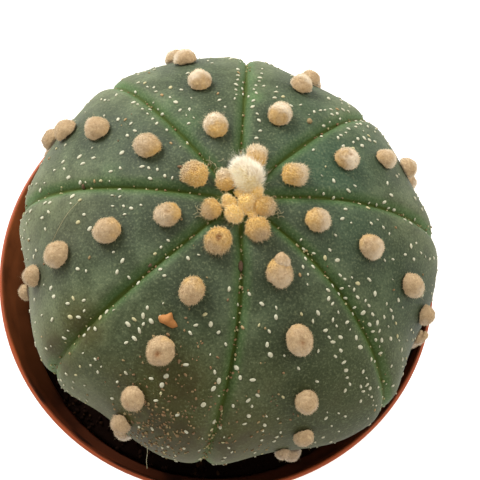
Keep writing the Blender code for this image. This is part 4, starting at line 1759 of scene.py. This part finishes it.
def makeStage():
    material, tree, shader = newMaterial("whitePaperSweep")
    shader.inputs["Base Color"].default_value = linearColour(stage["paper"])
    shader.inputs["Roughness"].default_value = 0.9
    shader.inputs["Emission Color"].default_value = (1.0, 1.0, 1.0, 1.0)
    shader.inputs["Emission Strength"].default_value = stage["paperGlow"]
    mesh = bpy.data.meshes.new("floor")
    reach = stage["reach"]
    corners = [(-reach, -reach, 0), (reach, -reach, 0), (reach, reach, 0), (-reach, reach, 0)]
    mesh.from_pydata(corners, [], [(0, 1, 2, 3)])
    mesh.materials.append(material)
    floor = linkObject("floor", mesh)
    floor.location.z = -stage["drop"]


def makeLights():
    for name, (place, side, power, colour) in stage["lamps"].items():
        data = bpy.data.lights.new(name, "AREA")
        data.shape = "DISK"
        data.size = side
        data.energy = power
        data.color = colour
        lamp = linkObject(name, data)
        lamp.location = place
        lamp.rotation_mode = "QUATERNION"
        lamp.rotation_quaternion = (stage["aim"] - place).to_track_quat("-Z", "Y")
    world = bpy.data.worlds.new("paleRoom")
    world.use_nodes = True
    world.node_tree.nodes["Background"].inputs["Color"].default_value = stage["roomColour"]
    world.node_tree.nodes["Background"].inputs["Strength"].default_value = stage["roomLight"]
    bpy.context.scene.world = world
    bpy.context.scene.view_settings.view_transform = "Standard"


view = {
    "place": Vector((0.0, -0.038388, 0.181203)),
    "forward": Vector((0.020856, 0.327265, -0.944703)),
    "up": Vector((-0.100512, 0.940807, 0.323696)),
    "lens": 64.94,
    "sensor": 36.0,
}


def makeCamera():
    data = bpy.data.cameras.new("camera")
    data.lens = view["lens"]
    data.sensor_width = view["sensor"]
    data.clip_start = 0.01
    data.clip_end = 20.0
    camera = linkObject("camera", data)
    forward = view["forward"].normalized()
    up = (view["up"] - forward * view["up"].dot(forward)).normalized()
    turn = Matrix((forward.cross(up), up, -forward)).transposed().to_4x4()
    camera.matrix_world = Matrix.Translation(view["place"]) @ turn
    bpy.context.scene.camera = camera


makeCamera()
makeLights()
makeStage()
stemPiece = makeStem(makeSkin())
skinMap = Skin(stemPiece.data)
padRows = areoleRows(skinMap)
padShade = [(row["seat"].translation, skin["padShade"], 1.0) for rows in padRows for row in rows]
skinMap.paint(stemPiece.data, "nearPad", padShade)
for label, spots in skinSpots.items():
    placed = [(skinMap.point(rib, a, math.radians(p)), size, share) for rib, a, p, size, share in spots]
    skinMap.paint(stemPiece.data, label, placed)
areoleFelt = makeFelt("areoleFelt", *felt["wool"])
feltTree = feltPadTree(areoleFelt)
makeAreoles(padRows, feltTree, areoleFelt)
makeCrown(skinMap, feltTree, makeFelt("goldenWool", *crown["wool"]))
makeTuft(skinMap, feltTree, makeFelt("whiteWool", *tuft["wool"]))
fleckWool = makeTinted("fleckWool", flecks["tints"], 0.0003, 0.95)
beads = beadTree(fleckWool)
makeFlecks(skinMap, padRows, beads, fleckWool)
makeGrit(skinMap, beads, makeTinted("driedGrit", grit["tints"], 0.0003, 0.9))
makeFlake(skinMap, makeTinted("driedPetal", flake["tints"], 0.0006, 0.8))
strandWool = makeTinted("strandWool", fibres["tints"], 0.002, 0.8)
makeFibres(skinMap, fibreTree(strandWool), strandWool)
makePot(makePlastic())
makeMix(skinMap, beads, makeTinted("dampPeat", mix["tints"], 0.0011, 0.9, 0.05))
